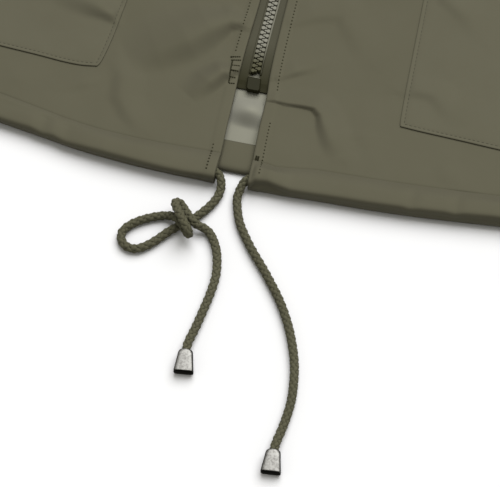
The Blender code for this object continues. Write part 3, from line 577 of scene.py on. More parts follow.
def steps(stretches):
    """Grid lines from stretches of (end, step at the start, step at the end)."""
    marks = [0.0]
    for end, first, last in stretches:
        start = marks[-1]
        while marks[-1] < end - 0.5 * last:
            share = (marks[-1] - start) / (end - start)
            marks.append(min(end, marks[-1] + mix(first, last, share)))
        marks[-1] = end
    return np.array(marks)


def hem_y(x):
    x = np.asarray(x, dtype=float)
    return np.where(x < 0, through(HEM_RISE, np.abs(x), 1), through(HEM_RISE, np.abs(x), 2))


def edge_x(side, y):
    return -through(FRONT_EDGE, y, 1) if side < 0 else through(FRONT_EDGE, y, 3)


def zip_x(y):
    return through(FRONT_EDGE, y, 2)


def side_x(y):
    share = np.clip((np.asarray(y, dtype=float) - SIDE_HEM_Y) / (ARMPIT[1] - SIDE_HEM_Y), 0.0, 1.0)
    return mix(SIDE_HEM_X, ARMPIT[0], share)


def armhole(share):
    return bezier(ARMPIT, ARMHOLE_PULL, SHOULDER, share)


def zip_lift(y):
    return COLLAR_LIFT * rising(y, *LIFT_Y)


def route_height(x, y, route):
    """Height of one crease: a crest along a route, steep towards the hem, gentle on the far side."""
    rows = np.array(route, dtype=float)
    best = np.full(x.shape, np.inf)
    total = np.zeros(x.shape)
    for a, b in zip(rows[:-1], rows[1:]):
        run = b[:2] - a[:2]
        length = float(np.hypot(*run))
        share = np.clip(((x - a[0]) * run[0] + (y - a[1]) * run[1]) / length ** 2, 0.0, 1.0)
        dx = x - mix(a[0], b[0], share)
        dy = y - mix(a[1], b[1], share)
        away = np.hypot(dx, dy)
        lean = (dx * run[1] - dy * run[0]) * (1.0 if run[0] > 0 else -1.0)
        height, near, far = (mix(a[k], b[k], share) for k in (2, 3, 4))
        value = height * (1.0 - smooth(away / np.where(lean > 0, near, far)))
        total = np.where(away < best, value, total)
        best = np.minimum(best, away)
    return total


def crease_height(x, y, table):
    total = np.zeros(x.shape)
    for route in table:
        xs, ys, _, near, far = zip(*route)
        reach = max(near + far)
        close = ((x > min(xs) - reach) & (x < max(xs) + reach)
                 & (y > min(ys) - reach) & (y < max(ys) + reach))
        if close.any():
            total[close] += route_height(x[close], y[close], route)
    return total


def below_shoulder(out, y):
    run = unit(np.array(SHOULDER) - np.array(NECK))
    dx, dy = out - NECK[0], y - NECK[1]
    corner = np.hypot(np.minimum(dx, 0.0), np.minimum(dy, 0.0))
    return np.maximum(np.where(dx < 0.0, corner, dx * run[1] - dy * run[0]), 0.0)


def front_z(x, y):
    """Middle of a front's cloth above the point x, y, with its creases."""
    out = np.abs(x)
    near_hem = 1.0 - smooth((y - hem_y(x) - CASING_DEPTH) / HEM_EASE)
    open_z = OPEN_Z + zip_lift(y) + (STITCH_Z - OPEN_Z) * near_hem
    share = np.clip((y - ARMPIT[1]) / (SHOULDER[1] - ARMPIT[1]), 0.0, 1.0)
    low = y < ARMPIT[1]
    beside = np.where(low, side_x(y), armhole(share)[..., 0]) - out
    below = below_shoulder(out, y)
    rim = np.where(low, mix(SEAM_Z, STITCH_Z, near_hem), SEAM_Z + ARMHOLE_RISE * np.sin(np.pi * share))
    drop = np.maximum((open_z - rim) * (1.0 - smooth(beside / EASE)),
                      (open_z - SEAM_Z) * (1.0 - smooth(below / EASE)))
    keep = smooth(beside / CREASE_SIDE) * smooth(below / CREASE_TOP)
    return open_z - drop + crease_height(x, y, CREASES) * keep


def hem_change(x, above):
    """Lean and change of height of the hem roll at a height above the hem."""
    return [straight(HEM_FACE, x, column) * fade_out(above, ends)
            for column, ends in enumerate(FACE_FADES, 1)]


def hem_stitch(x):
    """Height of the hem stitching above the hem."""
    return straight(HEM_STITCH, x, 1)


def top_edge(columns, neck_a, pulls):
    neck = bezier(neck_a, pulls, NECK, np.clip(columns / NECK_COLUMN, 0.0, 1.0))
    share = np.clip((columns - NECK_COLUMN) / (1.0 - NECK_COLUMN), 0.0, 1.0)[:, None]
    seam = mix(np.array(NECK), np.array(SHOULDER), share)
    return np.where((columns <= NECK_COLUMN)[:, None], neck, seam)


def upper_row(columns, inner_x, top, share):
    columns = columns[:, None]
    low_in, low_out = np.array((inner_x, ARMPIT[1])), np.array(ARMPIT)
    flat = mix(mix(low_in, low_out, columns), top, share)
    return flat + columns * (armhole(share) - mix(low_out, top[-1], share))


def add_object(name, data):
    made = bpy.data.objects.new(name, data)
    bpy.context.scene.collection.objects.link(made)
    return made


def link(name, points, faces, shades, picks=None, flat=False, as_given=False):
    """A closed mesh object from arrays, in the row frame. Its faces turn outwards or stay as given."""
    mesh = bpy.data.meshes.new(name)
    mesh.from_pydata(((points - MIDDLE) * MM).tolist(), [], faces)
    for shade in shades:
        mesh.materials.append(shade)
    if picks is not None:
        mesh.polygons.foreach_set("material_index", np.array(picks, dtype=np.int32))
    mesh.polygons.foreach_set("use_smooth", np.full(len(mesh.polygons), not flat))
    mesh.update()
    solid = bmesh.new()
    solid.from_mesh(mesh)
    if not as_given and solid.calc_volume(signed=True) < 0.0:
        mesh.flip_normals()
    solid.free()
    return add_object(name, mesh)


def rings(rows, count, closed=False):
    """Faces between stacked loops of points, and on to the first loop again if they close."""
    row = np.arange(rows if closed else rows - 1)[:, None] * count
    after = (row + count) % (rows * count)
    i = np.arange(count)[None, :]
    j = (i + 1) % count
    return np.stack((row + i, row + j, after + j, after + i), axis=2).reshape(-1, 4).tolist()


def capped(loops):
    """Points and faces of stacked loops with both ends closed."""
    count = len(loops[0])
    last = (len(loops) - 1) * count
    ends = [list(range(count - 1, -1, -1)), list(range(last, last + count))]
    return np.concatenate(loops), rings(len(loops), count) + ends


def shell(name, grid, thick, shades, rows_closed=False, flip=False):
    """A thin cloth wall on a grid, round at both ends of its rows.
    The first material is on the face along the normals, the second on the other face."""
    rows, cols = grid.shape[:2]
    half = np.broadcast_to(thick, (rows, cols))[..., None] / 2
    down = np.gradient(grid, axis=0)
    if rows_closed:
        down = 0.5 * (np.roll(grid, -1, axis=0) - np.roll(grid, 1, axis=0))
    normal = unit(np.cross(np.gradient(grid, axis=1), down)) * (-1.0 if flip else 1.0)
    rims = []
    for end, other, turns in ((-1, -2, RIM_TURNS), (0, 1, RIM_TURNS[::-1])):
        out = unit(grid[:, end] - grid[:, other])
        rim = [normal[:, end] * np.cos(turn) + out * np.sin(turn) for turn in turns]
        rims.append(np.stack([grid[:, end] + half[:, end] * way for way in rim], axis=1))
    loop = (grid + normal * half, rims[0], (grid - normal * half)[:, ::-1], rims[1])
    ring = np.concatenate(loop, axis=1)
    count = ring.shape[1]
    faces = rings(rows, count, rows_closed)
    picks = ([0] * (cols + 3) + [1] * (cols - 1) + [0] * 4) * (len(faces) // count)
    if not rows_closed:
        for base, order in ((0, 1), ((rows - 1) * count, -1)):
            under = base + 2 * cols + 2
            caps = [[base + k, base + k + 1, under - 1 - k, under - k] for k in range(cols - 1)]
            caps.append([base + cols - 1 + k for k in range(5)])
            caps.append([under + k for k in range(4)] + [base])
            faces += [cap[::-order] for cap in caps]
        picks += [0] * (len(faces) - len(picks))
    return link(name, ring.reshape(-1, 3), faces, shades, picks)


def principled(name, colour, roughness, specular=0.5, metallic=0.0, tint=(1.0, 1.0, 1.0)):
    made = bpy.data.materials.new(name)
    made.use_nodes = True
    sockets = made.node_tree.nodes["Principled BSDF"].inputs
    sockets["Base Color"].default_value = (*colour, 1.0)
    sockets["Roughness"].default_value = roughness
    sockets["Specular IOR Level"].default_value = specular
    sockets["Specular Tint"].default_value = (*tint, 1.0)
    sockets["Metallic"].default_value = metallic
    return made


def add_node(tree, kind, **sockets):
    node = tree.nodes.new("ShaderNode" + kind)
    for key, value in sockets.items():
        node.inputs[key].default_value = value
    return node


def add_ramp(tree, source, low, high, ends=(0.0, 1.0)):
    ramp = add_node(tree, "ValToRGB")
    for element, end, colour in zip(ramp.color_ramp.elements, ends, (low, high)):
        element.position = end
        element.color = (*colour, 1.0)
    tree.links.new(source, ramp.inputs["Fac"])
    return ramp.outputs["Color"]


def add_range(tree, source, ends):
    span = add_node(tree, "MapRange", **{"From Min": ends[0], "From Max": ends[1]})
    tree.links.new(source, span.inputs["Value"])
    return span.outputs["Result"]


def woven(name, colour, deep, roughness, specular, weave, depth, sag=0.0):
    """Cloth with a fine plain weave, a faint mottling of its colour and a soft unevenness."""
    made = principled(name, colour, roughness, specular, tint=HAZE)
    tree = made.node_tree
    wire = tree.links.new
    sockets = tree.nodes["Principled BSDF"].inputs
    where = add_node(tree, "TexCoord").outputs["Object"]
    spots = add_node(tree, "TexNoise", **MOTTLE)
    wire(where, spots.inputs["Vector"])
    wire(add_ramp(tree, spots.outputs["Fac"], deep, colour, MOTTLE_ENDS), sockets["Base Color"])
    both = add_node(tree, "Math")
    both.operation = "MULTIPLY"
    for number, direction in enumerate("XY"):
        wave = add_node(tree, "TexWave", Scale=weave)
        wave.bands_direction = direction
        wire(where, wave.inputs["Vector"])
        wire(wave.outputs["Fac"], both.inputs[number])
    last = add_node(tree, "Bump", Strength=depth, Distance=WEAVE_HEIGHT)
    wire(both.outputs["Value"], last.inputs["Height"])
    if sag > 0.0:
        slow = add_node(tree, "TexNoise", **SAG)
        wire(where, slow.inputs["Vector"])
        over = add_node(tree, "Bump", Strength=sag, Distance=SAG_HEIGHT)
        wire(slow.outputs["Fac"], over.inputs["Height"])
        wire(last.outputs["Normal"], over.inputs["Normal"])
        last = over
    wire(last.outputs["Normal"], sockets["Normal"])
    return made


def shaded_along_zip(name, low_colour, high_colour, ends, roughness, specular):
    """A finish with painted shade that darkens it towards the low end of the zip."""
    made = principled(name, high_colour, roughness, specular)
    tree = made.node_tree
    split = add_node(tree, "SeparateXYZ")
    tree.links.new(add_node(tree, "TexCoord").outputs["Object"], split.inputs["Vector"])
    share = add_range(tree, split.outputs["Y"], [(y - CENTRE_Y) * MM for y in ends])
    colour = add_ramp(tree, share, low_colour, high_colour)
    tree.links.new(colour, tree.nodes["Principled BSDF"].inputs["Base Color"])
    return made


def plated(name):
    """Satin plating with painted shade on its flanks, for the dark floor they reflect, and fine scuffs."""
    made = principled(name, STEEL, STEEL_ROUGH, metallic=1.0)
    tree = made.node_tree
    wire = tree.links.new
    where = add_node(tree, "TexCoord")
    split = add_node(tree, "SeparateXYZ")
    wire(where.outputs["Normal"], split.inputs["Vector"])
    scuff = add_node(tree, "TexNoise", **SCUFF)
    wire(where.outputs["Object"], scuff.inputs["Vector"])
    # Painted shade on the flanks, by the height of the normal
    both = add_node(tree, "MixRGB", Color1=(*STEEL_FLANK_PAINTED_SHADE, 1.0))
    wire(add_range(tree, split.outputs["Z"], FLANK_SHADE_ENDS), both.inputs["Fac"])
    wire(add_ramp(tree, scuff.outputs["Fac"], STEEL_WORN, STEEL, SCUFF_ENDS), both.inputs["Color2"])
    wire(both.outputs["Color"], tree.nodes["Principled BSDF"].inputs["Base Color"])
    return made


# Finishes: roughness and strength of the shine, then for cloth the weave, its depth and the unevenness
SHELL = woven("rain_cloth", OLIVE, OLIVE_DEEP, 0.6, 0.15, CLOTH_WEAVE, 0.12, 0.12)
INSIDE = woven("coated_inside", PALE, PALE_DEEP, 0.5, 0.12, CLOTH_WEAVE, 0.05)
POCKET_CLOTH = woven("pocket_cloth", POCKET_OLIVE, OLIVE, 0.6, 0.15, CLOTH_WEAVE, 0.12, 0.12)
CORD_SHADE = woven("cord_braid", CORD, CORD_DEEP, 0.8, 0.2, CORD_WEAVE, 0.4)
# The zip's tape, teeth and beads get painted shade towards its low end
TAPE_CLOTH = shaded_along_zip("zip_tape", TAPE_PAINTED_SHADE, TAPE, TAPE_SHADE_SPAN, 0.75, 0.12)
TOOTH_SHADE = shaded_along_zip("zip_tooth", TOOTH_PAINTED_SHADE, TOOTH, TEETH_SHADE_SPAN, 0.6, 0.12)
BEAD_SHADE = shaded_along_zip("zip_bead_painted_highlight", TAPE_PAINTED_SHADE, BEAD_PAINTED_HIGHLIGHT, TEETH_SHADE_SPAN, 0.6, 0.2)
BOX_SHADE = principled("zip_box_plastic", BOX, 0.6, 0.08)
LIP_SHADE = principled("zip_box_lip", LIP, 0.5, 0.3)
THREAD_SHADE = principled("thread", THREAD_PAINTED_SHADE, 0.7, 0.2)
TACK_SHADE = principled("bar_tack_painted_shade", TACK, 0.8, 0.1)
DOT_SHADE = principled("needle_mark_painted_shade", MARK_PAINTED_SHADE, 0.8, 0.1)
STEEL_SHADE = plated("tip_metal")
HOLLOW_SHADE = principled("tip_hollow_painted_shade", HOLLOW_PAINTED_SHADE, 0.7, 0.1)
SLIDER_SHADE = principled("slider_metal", BOX, 0.35, metallic=0.5)
FLOOR_SHADE = principled("floor_white", FLOOR, 0.95, 0.0)


def place(obj, slot, *nodes):
    """Joins a piece to the jacket and hides the solids that it stands for; its finish slot is not used."""
    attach(obj, BODY)
    if nodes:
        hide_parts(*nodes)
    return obj


def front_row(side, edge_y, side_y, columns):
    return side * mix(edge_x(side, edge_y) + EDGE_INSET, side_x(side_y), columns)


def front_grid(side):
    """Points of a front from its turned-in hem to its shoulder, and the thickness of its cloth."""
    columns = steps(FRONT_COLUMNS) / FRONT_COLUMNS[-1][0]
    casing = even(spline(FRONT_CASING, CASING_FINE), FRONT_CASING_STEP)
    nose = int(np.argmin(casing[:, 0]))
    rows = []
    for number, (above, z) in enumerate(casing):
        x = front_row(side, above, above + SIDE_HEM_Y, columns)
        y = hem_y(x) + above
        if number > nose:
            lean, change = hem_change(x, above)
            outer = rising(z, *FACE_STARTS)
            set_in = (hem_stitch(x) - CASING_DEPTH) * rising(above, HEM_STITCH_FROM, CASING_DEPTH)
            y = y + lean * outer + set_in
            z = z + change * outer
        rows.append(xyz(x, y, z))
    for level in CASING_DEPTH + steps(FRONT_LEVELS)[1:]:
        x = front_row(side, level, level, columns)
        set_in = (hem_stitch(x) - CASING_DEPTH) * fade_out(level, STITCH_FADES)
        y = level + hem_y(x) * fade_out(level, FRONT_FADES) + set_in
        rows.append(xyz(x, y, front_z(x, y)))
    inner = edge_x(side, ARMPIT[1]) + EDGE_INSET
    top = top_edge(columns, (inner, FRONT_NECK_Y), FRONT_NECK_PULL)
    for share in shares(FRONT_UPPER_ROWS)[1:]:
        flat = upper_row(columns, inner, top, share)
        x, y = side * flat[:, 0], flat[:, 1]
        rows.append(xyz(x, y, front_z(x, y)))
    grid = np.array(rows)
    x, y, z = grid[..., 0], grid[..., 1], grid[..., 2]
    from_edge = np.abs(x - x[:, :1])
    edge_groove = bump(from_edge - TOPSTITCH_IN, *EDGE_GROOVE) * (z > EDGE_GROOVE_FROM)
    hem_groove = bump(y - hem_y(x) - hem_stitch(x), *HEM_GROOVE) * (z > HEM_GROOVE_FROM)
    grid[..., 2] -= edge_groove + hem_groove
    return grid, mix(CLOTH, EDGE_CLOTH, fade_out(from_edge, EDGE_BAND))


def back_z(x, y):
    """Height of the back, with the ripple that shows in the gap below the zip."""
    crest = RIPPLE_CREST + RIPPLE_TILT * x
    away = np.where(y < crest, (crest - y) / RIPPLE_FALLS[0], (y - crest) / RIPPLE_FALLS[1])
    return BACK_Z + bump(x - RIPPLE_X, RIPPLE_HEIGHT, RIPPLE_WIDTH) * (1.0 - smooth(away))


def back_grid():
    marks = steps(BACK_COLUMNS)
    columns = np.concatenate((-marks[:0:-1], marks)) / SIDE_HEM_X
    x = columns * SIDE_HEM_X
    rows = [xyz(x, hem_y(x) + BACK_HEM_SET + above, z)
            for above, z in even(spline(BACK_CASING, CASING_FINE), BACK_CASING_STEP)]
    for level in BACK_LOW_Y + steps(BACK_LEVELS)[1:]:
        x = columns * side_x(level)
        y = level + hem_y(x) * fade_out(level, BACK_FADES)
        rows.append(xyz(x, y, back_z(x, y)))
    half = columns[len(columns) // 2:]
    top = top_edge(half, (0.0, BACK_NECK_Y), BACK_NECK_PULL)
    for share in shares(BACK_UPPER_ROWS)[1:]:
        flat = upper_row(half, 0.0, top, share)
        flat = np.concatenate((flat[:0:-1] * (-1.0, 1.0), flat))
        rows.append(xyz(flat[:, 0], flat[:, 1], BACK_Z))
    return np.array(rows)


def folded_edge(edge, top_z, out):
    """Points round a folded edge, from the upper layer down to the lower one."""
    radius = 0.5 * (top_z - BACK_Z)
    turns = np.linspace(0.0, np.pi, FOLD_POINTS)[1:-1, None]
    flat = edge + np.array(out) * FOLD_OUT * np.sin(turns)
    return np.column_stack((flat, BACK_Z + radius + radius * np.cos(turns)))


def sleeve_grid(side):
    """Points round a flattened sleeve, from the armhole to its end."""
    over = shares(SLEEVE_POINTS)
    turn = math.radians(SLEEVE_TURN)
    run = np.array((math.sin(turn), -math.cos(turn)))
    across = np.array((-math.cos(turn), -math.sin(turn)))
    start = armhole(over)
    slope = unit(np.gradient(start, axis=0))
    start = start + np.stack((slope[:, 1], -slope[:, 0]), axis=1) * SEAM_GAP
    end = np.array(SHOULDER) + run * SLEEVE_LENGTH + across * CUFF_WIDTH * (1.0 - over[:, None])
    seam = SEAM_Z + ARMHOLE_RISE * np.sin(np.pi * over)
    shift, spread = SLEEVE_SHIFTS[side]
    loops = []
    for q in shares(SLEEVE_LOOPS):
        line = mix(start, end, q) - across * SLEEVE_BOW * math.sin(math.pi * q) * over[:, None]
        width = np.linalg.norm(line[-1] - line[0])
        rim = smooth(np.minimum(over, 1.0 - over) * width / SLEEVE_RIM)
        along = np.full(over.shape, q * SLEEVE_LENGTH - shift)
        fold = crease_height(along, over * width * spread, SLEEVE_CREASES)
        fold = fold * rim * mix(SLEEVE_END_KEEP, 1.0, smooth((1.0 - q) / SLEEVE_END))
        top_z = mix(SLEEVE_EDGE_Z, SLEEVE_TOP_Z, rim) + fold
        top_z = mix(seam, top_z, smooth(q / SLEEVE_START))
        bends = [folded_edge(line[at], top_z[at], unit(line[at] - line[other]))
                 for at, other in ((-1, -2), (0, 1))]
        top, low = xyz(line[:, 0], line[:, 1], top_z), xyz(line[::-1, 0], line[::-1, 1], BACK_Z)
        loops.append(np.concatenate((top, bends[0], low, bends[1][::-1])))
    return np.array(loops).transpose(1, 0, 2) * (side, 1.0, 1.0)


def collar_grid():
    """Points along the collar from the left zip edge round the back, from its seam to its top."""
    front_share = shares(COLLAR_FRONT_POINTS)
    back_share = np.linspace(1.0, 0.0, COLLAR_BACK_POINTS)
    inner = edge_x(1, ARMPIT[1]) + COLLAR_INSET
    front = bezier((inner, FRONT_NECK_Y), FRONT_NECK_PULL, NECK, front_share)
    back = bezier((0.0, BACK_NECK_Y), BACK_NECK_PULL, NECK, back_share)
    front_z_low = mix(OPEN_Z + COLLAR_LIFT, COLLAR_SIDE_Z, smooth(front_share))
    ripple = np.sin(np.linspace(0.0, COLLAR_WAVES, COLLAR_FRONT_POINTS))
    columns = []
    for q in shares(COLLAR_ROWS):
        layers = []
        for share, line, z in ((front_share, front, front_z_low), (back_share, back, BACK_Z)):
            up = COLLAR_GAP + COLLAR_BACK_GAP * share + mix(COLLAR_HEIGHT, COLLAR_BACK_HEIGHT, share) * q
            layers.append(xyz(line[:, 0] - COLLAR_LEAN * share * q, line[:, 1] + up, z))
        fold = folded_edge(layers[0][-1, :2], layers[0][-1, 2], (1.0, 0.0))
        layers[0][:, 2] += np.maximum(COLLAR_WAVE * math.sin(math.pi * q) * ripple, 0.0)
        half = np.concatenate((layers[0], fold, layers[1]))
        columns.append(np.concatenate((half * (-1.0, 1.0, 1.0), half[-2::-1])))
    return np.array(columns).transpose(1, 0, 2)


def pocket_grid(side):
    """A patch pocket on its front, lifted off it a little between its edges."""
    column = 1 if side < 0 else 2
    outs, ups = (steps(lines) / lines[-1][0] for lines in (POCKET_COLUMNS, POCKET_ROWS))
    corner, reach = POCKET_CORNERS[side]
    rows = []
    for up in ups:
        rise = up * (POCKET_TOP_Y - POCKET_BASE_Y)
        inner = through(POCKET_EDGE, rise, column) + corner * math.exp(-rise / reach)
        x = mix(inner, POCKET_OUT_X, outs)
        y = mix(through(POCKET_LOW, x, column), POCKET_TOP_Y, up)
        border = np.minimum(np.minimum(outs, 1.0 - outs) * POCKET_COLUMNS[-1][0], up * POCKET_ROWS[-1][0])
        lift = POCKET_LIFT + POCKET_PUFF * smooth(border / POCKET_PUFF_RUN)
        lift = lift + 0.5 * (CLOTH + POCKET_WALL) - bump(border - POCKET_SEAM, *POCKET_GROOVE)
        rows.append(xyz(side * x, y, front_z(side * x, y) + lift))
    return np.array(rows)


def cloth_piece(node, grid, thick, shade, **way):
    obj = shell("cloth_" + node, grid, thick, [shade, INSIDE], **way)
    place(obj, "pocket" if shade == POCKET_CLOTH else "shell", node)


def build_cloth():
    for side, word in SIDES:
        cloth_piece("front_" + word, *front_grid(side), SHELL, flip=side < 0)
        cloth_piece("pocket_" + word, pocket_grid(side), POCKET_WALL, POCKET_CLOTH, flip=side < 0)
        cloth_piece("sleeve_" + word, sleeve_grid(side), CLOTH, SHELL, rows_closed=True, flip=side < 0)
    cloth_piece("back", back_grid(), BACK_CLOTH, SHELL, flip=True)
    cloth_piece("collar", collar_grid(), COLLAR_CLOTH, SHELL)


def frames_along(points):
    """Tangent and two cross directions carried along a line without twist."""
    run = unit(np.gradient(points, axis=0))
    side = unit(np.cross(run[0], UP))
    sides = []
    for direction in run:
        side = unit(side - direction * np.dot(side, direction))
        sides.append(side)
    sides = np.array(sides)
    return run, sides, np.cross(sides, run)


def round_loops(points, side, up, radius, count):
    turns = full_turn(count)[:, None]
    return [p + radius * (np.cos(turns) * s + np.sin(turns) * u) for p, s, u in zip(points, side, up)]


def tube(name, points, radius, shade):
    _, side, up = frames_along(points)
    return link(name, *capped(round_loops(points, side, up, radius, TUBE_SIDES)), [shade])


def many(name, loops, places, shade, flat=False):
    """One mesh of many copies of stacked loops; places holds (origin, matrix) pairs."""
    base, faces = capped(loops)
    points = [base @ turn.T + origin for origin, turn in places]
    faces = [[i + n * len(base) for i in face] for n in range(len(places)) for face in faces]
    return link(name, np.concatenate(points), faces, [shade], flat=flat)


def tape_loops(side, levels):
    """Loops of a zip tape, which bends down at its low end."""
    loops = []
    for y in levels:
        base = ZIP_BASE_Z + zip_lift(y) + TAPE_LIFT - TAPE_END_DROP * fade_out(y, TAPE_END)
        section = ((TAPE_IN, 0.0), (TAPE_OUT, 0.0), (TAPE_OUT, TAPE_THICK), (TAPE_IN, TAPE_THICK))
        loops.append(np.array([(zip_x(y) + side * x, y, base + z) for x, z in section]))
    return loops


def tooth_loops():
    """Loops of one moulded tooth seen from above, from its foot to its flat top."""
    outline = []
    for angle in np.radians(TOOTH_BODY_TURNS):
        spot = np.array((math.cos(angle), math.sin(angle)))
        outline.append((TOOTH_BODY_X, 0.0) + TOOTH_BODY * np.sign(spot) * np.abs(spot) ** TOOTH_SQUARE)
    outline.append(np.array(TOOTH_NECK))
    for angle in np.radians(TOOTH_HEAD_TURNS):
        spot = np.array((math.cos(angle), math.sin(angle)))
        outline.append((TOOTH_HEAD_X, 0.0) + TOOTH_HEAD_R * spot)
    outline.append(TOOTH_NECK * np.array((1.0, -1.0)))
    middle = np.array((TOOTH_BODY_X * 0.5, 0.0))
    spots = [mix(middle, np.array(outline), share) for share, _ in TOOTH_LAYERS]
    return [xyz(spot[:, 0], spot[:, 1], z * TOOTH_THICK) for spot, (_, z) in zip(spots, TOOTH_LAYERS)]


def build_zip():
    levels = np.concatenate([np.arange(*stretch) for stretch in TAPE_STRETCHES])
    for side, word in SIDES:
        tape = link("tape_" + word, *capped(tape_loops(side, levels)), [TAPE_CLOTH], flat=True)
        place(tape, "tape", "zip_tape_" + word)
        places = []
        for y in np.arange(TEETH_LOW_Y, TEETH_TOP_Y, TOOTH_PITCH) + (TOOTH_PITCH / 2 if side > 0 else 0.0):
            lean = math.atan2(zip_x(y + LEAN_REACH) - zip_x(y - LEAN_REACH), 2 * LEAN_REACH)
            turn = np.array(((math.cos(lean) * side, math.sin(lean), 0.0),
                             (-math.sin(lean) * side, math.cos(lean), 0.0), UP))
            places.append(((zip_x(y), y, ZIP_BASE_Z + zip_lift(y) + TOOTH_THICK / 2), turn))
        teeth = many("teeth_" + word, tooth_loops(), places, TOOTH_SHADE, flat=True)
        place(teeth, "teeth", "zip_teeth_" + word)
        y = levels[levels > BEAD_LOW_Y]
        z = ZIP_BASE_Z + zip_lift(y) + TAPE_LIFT + TAPE_THICK + BEAD_LIFT
        ridge = xyz(zip_x(y) + side * EDGE_CORD_X, y, z)
        # The right bead gets a painted highlight; the left one keeps the tape's colour
        place(tube("tape_bead_" + word, ridge, EDGE_CORD_R, TAPE_CLOTH if side < 0 else BEAD_SHADE), "teeth")
    build_box()


def build_box():
    """Retainer box with rounded edges and a lip at its top."""
    outline = np.array(BOX_OUTLINE)
    loops = []
    for wide, long, z in BOX_LAYERS:
        y = 0.5 * (BOX_LOW_Y + BOX_HIGH_Y) + outline[:, 1] * 0.5 * (BOX_HIGH_Y - BOX_LOW_Y) * long
        loops.append(xyz(zip_x(y) + outline[:, 0] * BOX_HALF * wide, y, ZIP_BASE_Z + z))
    place(link("retainer_box", *capped(loops), [BOX_SHADE], flat=True), "box", "zip_box")
    ends = zip_x(BOX_HIGH_Y) + np.array((-LIP_HALF, LIP_HALF))
    lip = xyz(ends, BOX_HIGH_Y - LIP_IN, ZIP_BASE_Z + BOX_THICK + LIP_LIFT)
    place(tube("retainer_lip", lip, LIP_R, LIP_SHADE), "teeth")


def braid(name, path):
    """A round braided cord: strands in both directions, over and under, on a plain core."""
    run, side, up = frames_along(path)
    distance = distances(path)
    angles = full_turn(STRAND_SIDES)[None, :, None]
    weave = np.cos(2.0 * np.pi * BRAID_STRANDS * distance / BRAID_LEAD)
    points, faces, total = [], [], 0
    for way in (1, -1):
        for n in range(BRAID_STRANDS):
            turn = (way * 2 * np.pi * distance / BRAID_LEAD + 2 * np.pi * n / BRAID_STRANDS)[:, None]
            outward = np.cos(turn) * side + np.sin(turn) * up
            around = np.cos(turn) * up - np.sin(turn) * side
            centre = path + outward * (STRAND_RING + way * STRAND_WEAVE * weave)[:, None]
            cross = unit(around - run * way * 2 * np.pi * STRAND_RING / BRAID_LEAD)
            spots, strand = capped(list(centre[:, None, :] + STRAND_WIDE * np.cos(angles) * cross[:, None, :]
                                        + STRAND_THICK * np.sin(angles) * outward[:, None, :]))
            points.append(spots)
            faces += [[i + total for i in face[::-way]] for face in strand]
            total += len(spots)
    spots, core = capped(round_loops(path, side, up, CORE_R, CORE_SIDES))
    points.append(spots)
    faces += [[i + total for i in face] for face in core]
    return link(name, np.concatenate(points), faces, [CORD_SHADE], as_given=True)


def bell(name, neck, end):
    """A hollow flattened tip: its outside from neck to mouth, then its bore back to the neck, painted dark as
    shade.
    """
    length = float(np.linalg.norm(end - neck))
    axis = (end - neck) / length
    side = unit(np.cross(axis, UP))
    up = np.cross(side, axis)
    loop = [row[:3] for row in TIP_SECTIONS] + [(row[0], *row[3:]) for row in reversed(TIP_SECTIONS)]
    angles = 2 * np.pi * (np.arange(TIP_SIDES)[:, None] + 0.5) / TIP_SIDES
    points = []
    for share, wide, high in loop:
        power = mix(1.0, TIP_SQUARE, min(share / TIP_ROUND_SHARE, 1.0))
        over, rise = (np.sign(wave) * np.abs(wave) ** power for wave in (np.cos(angles), np.sin(angles)))
        points.append(neck + axis * length * share + over * wide * side + rise * high * up)
    # The bore's faces get the painted shade
    inner = range(len(TIP_SECTIONS), len(loop) - 1)
    picks = [1 if k in inner else 0 for k in range(len(loop)) for _ in range(TIP_SIDES)]
    faces = rings(len(loop), TIP_SIDES, closed=True)
    return link(name, np.concatenate(points), faces, [STEEL_SHADE, HOLLOW_SHADE], picks)


def build_cords():
    for word, route, tip in (("left", LEFT_ROUTE, LEFT_TIP), ("right", RIGHT_ROUTE, RIGHT_TIP)):
        neck, end = np.array(tip)
        route = [(*spot, CORD_LIE)[:3] for spot in route]
        path = even(spline([*route, neck, mix(neck, end, CORD_IN_TIP)], CORD_FINE), CORD_SAMPLE)
        cord = place(braid("braid_" + word, path), "cord", "drawcord_" + word)
        cap = place(bell("bell_" + word, neck, end), "tip", "tip_" + word)


def capsule_loops(length, radius):
    """Loops of a short thread lying along x, thin and low at both ends."""
    angles = full_turn(THREAD_SIDES)
    wide, high = radius * np.cos(angles), radius * np.sin(angles)
    sag = radius * THREAD_SAG
    return [xyz(x * length, r * wide, r * high - sag * (2.0 * x) ** 2) for x, r in THREAD_LOOPS]


def stitch_places(line, pitch=STITCH, start=STITCH_START):
    """Places for stitches along a line of surface points."""
    run = distances(line)
    middles = np.arange(start + pitch / 2, run[-1] - pitch / 2, pitch)
    a, b = (at_distance(line, run, middles + reach * pitch) for reach in (-STITCH_REACH, STITCH_REACH))
    along = unit(b - a)
    across = unit(np.cross(UP, along))
    return list(zip(0.5 * (a + b), np.stack((along, across, np.cross(along, across)), axis=2)))


def on_front(x, y, lift):
    """Points a little above the face of a front, on its casing or higher up."""
    above = y - hem_y(x)
    deep = hem_stitch(x)
    level = above + (CASING_DEPTH - deep) * smooth((above - HEM_STITCH_FROM) / (deep - HEM_STITCH_FROM))
    casing = straight(FRONT_CASING[CASING_TOP_ROW:], level, 1) + hem_change(x, level)[1] + CASING_SWELL
    return xyz(x, y, np.where(above < deep, casing, front_z(x, y)) + EDGE_CLOTH / 2 + lift)


def on_pocket(side, x, y):
    """Points on the face of a pocket along its seams."""
    return xyz(side * x, y, front_z(side * x, y) + CLOTH / 2 + POCKET_LIFT + POCKET_WALL - POCKET_STITCH_SINK)


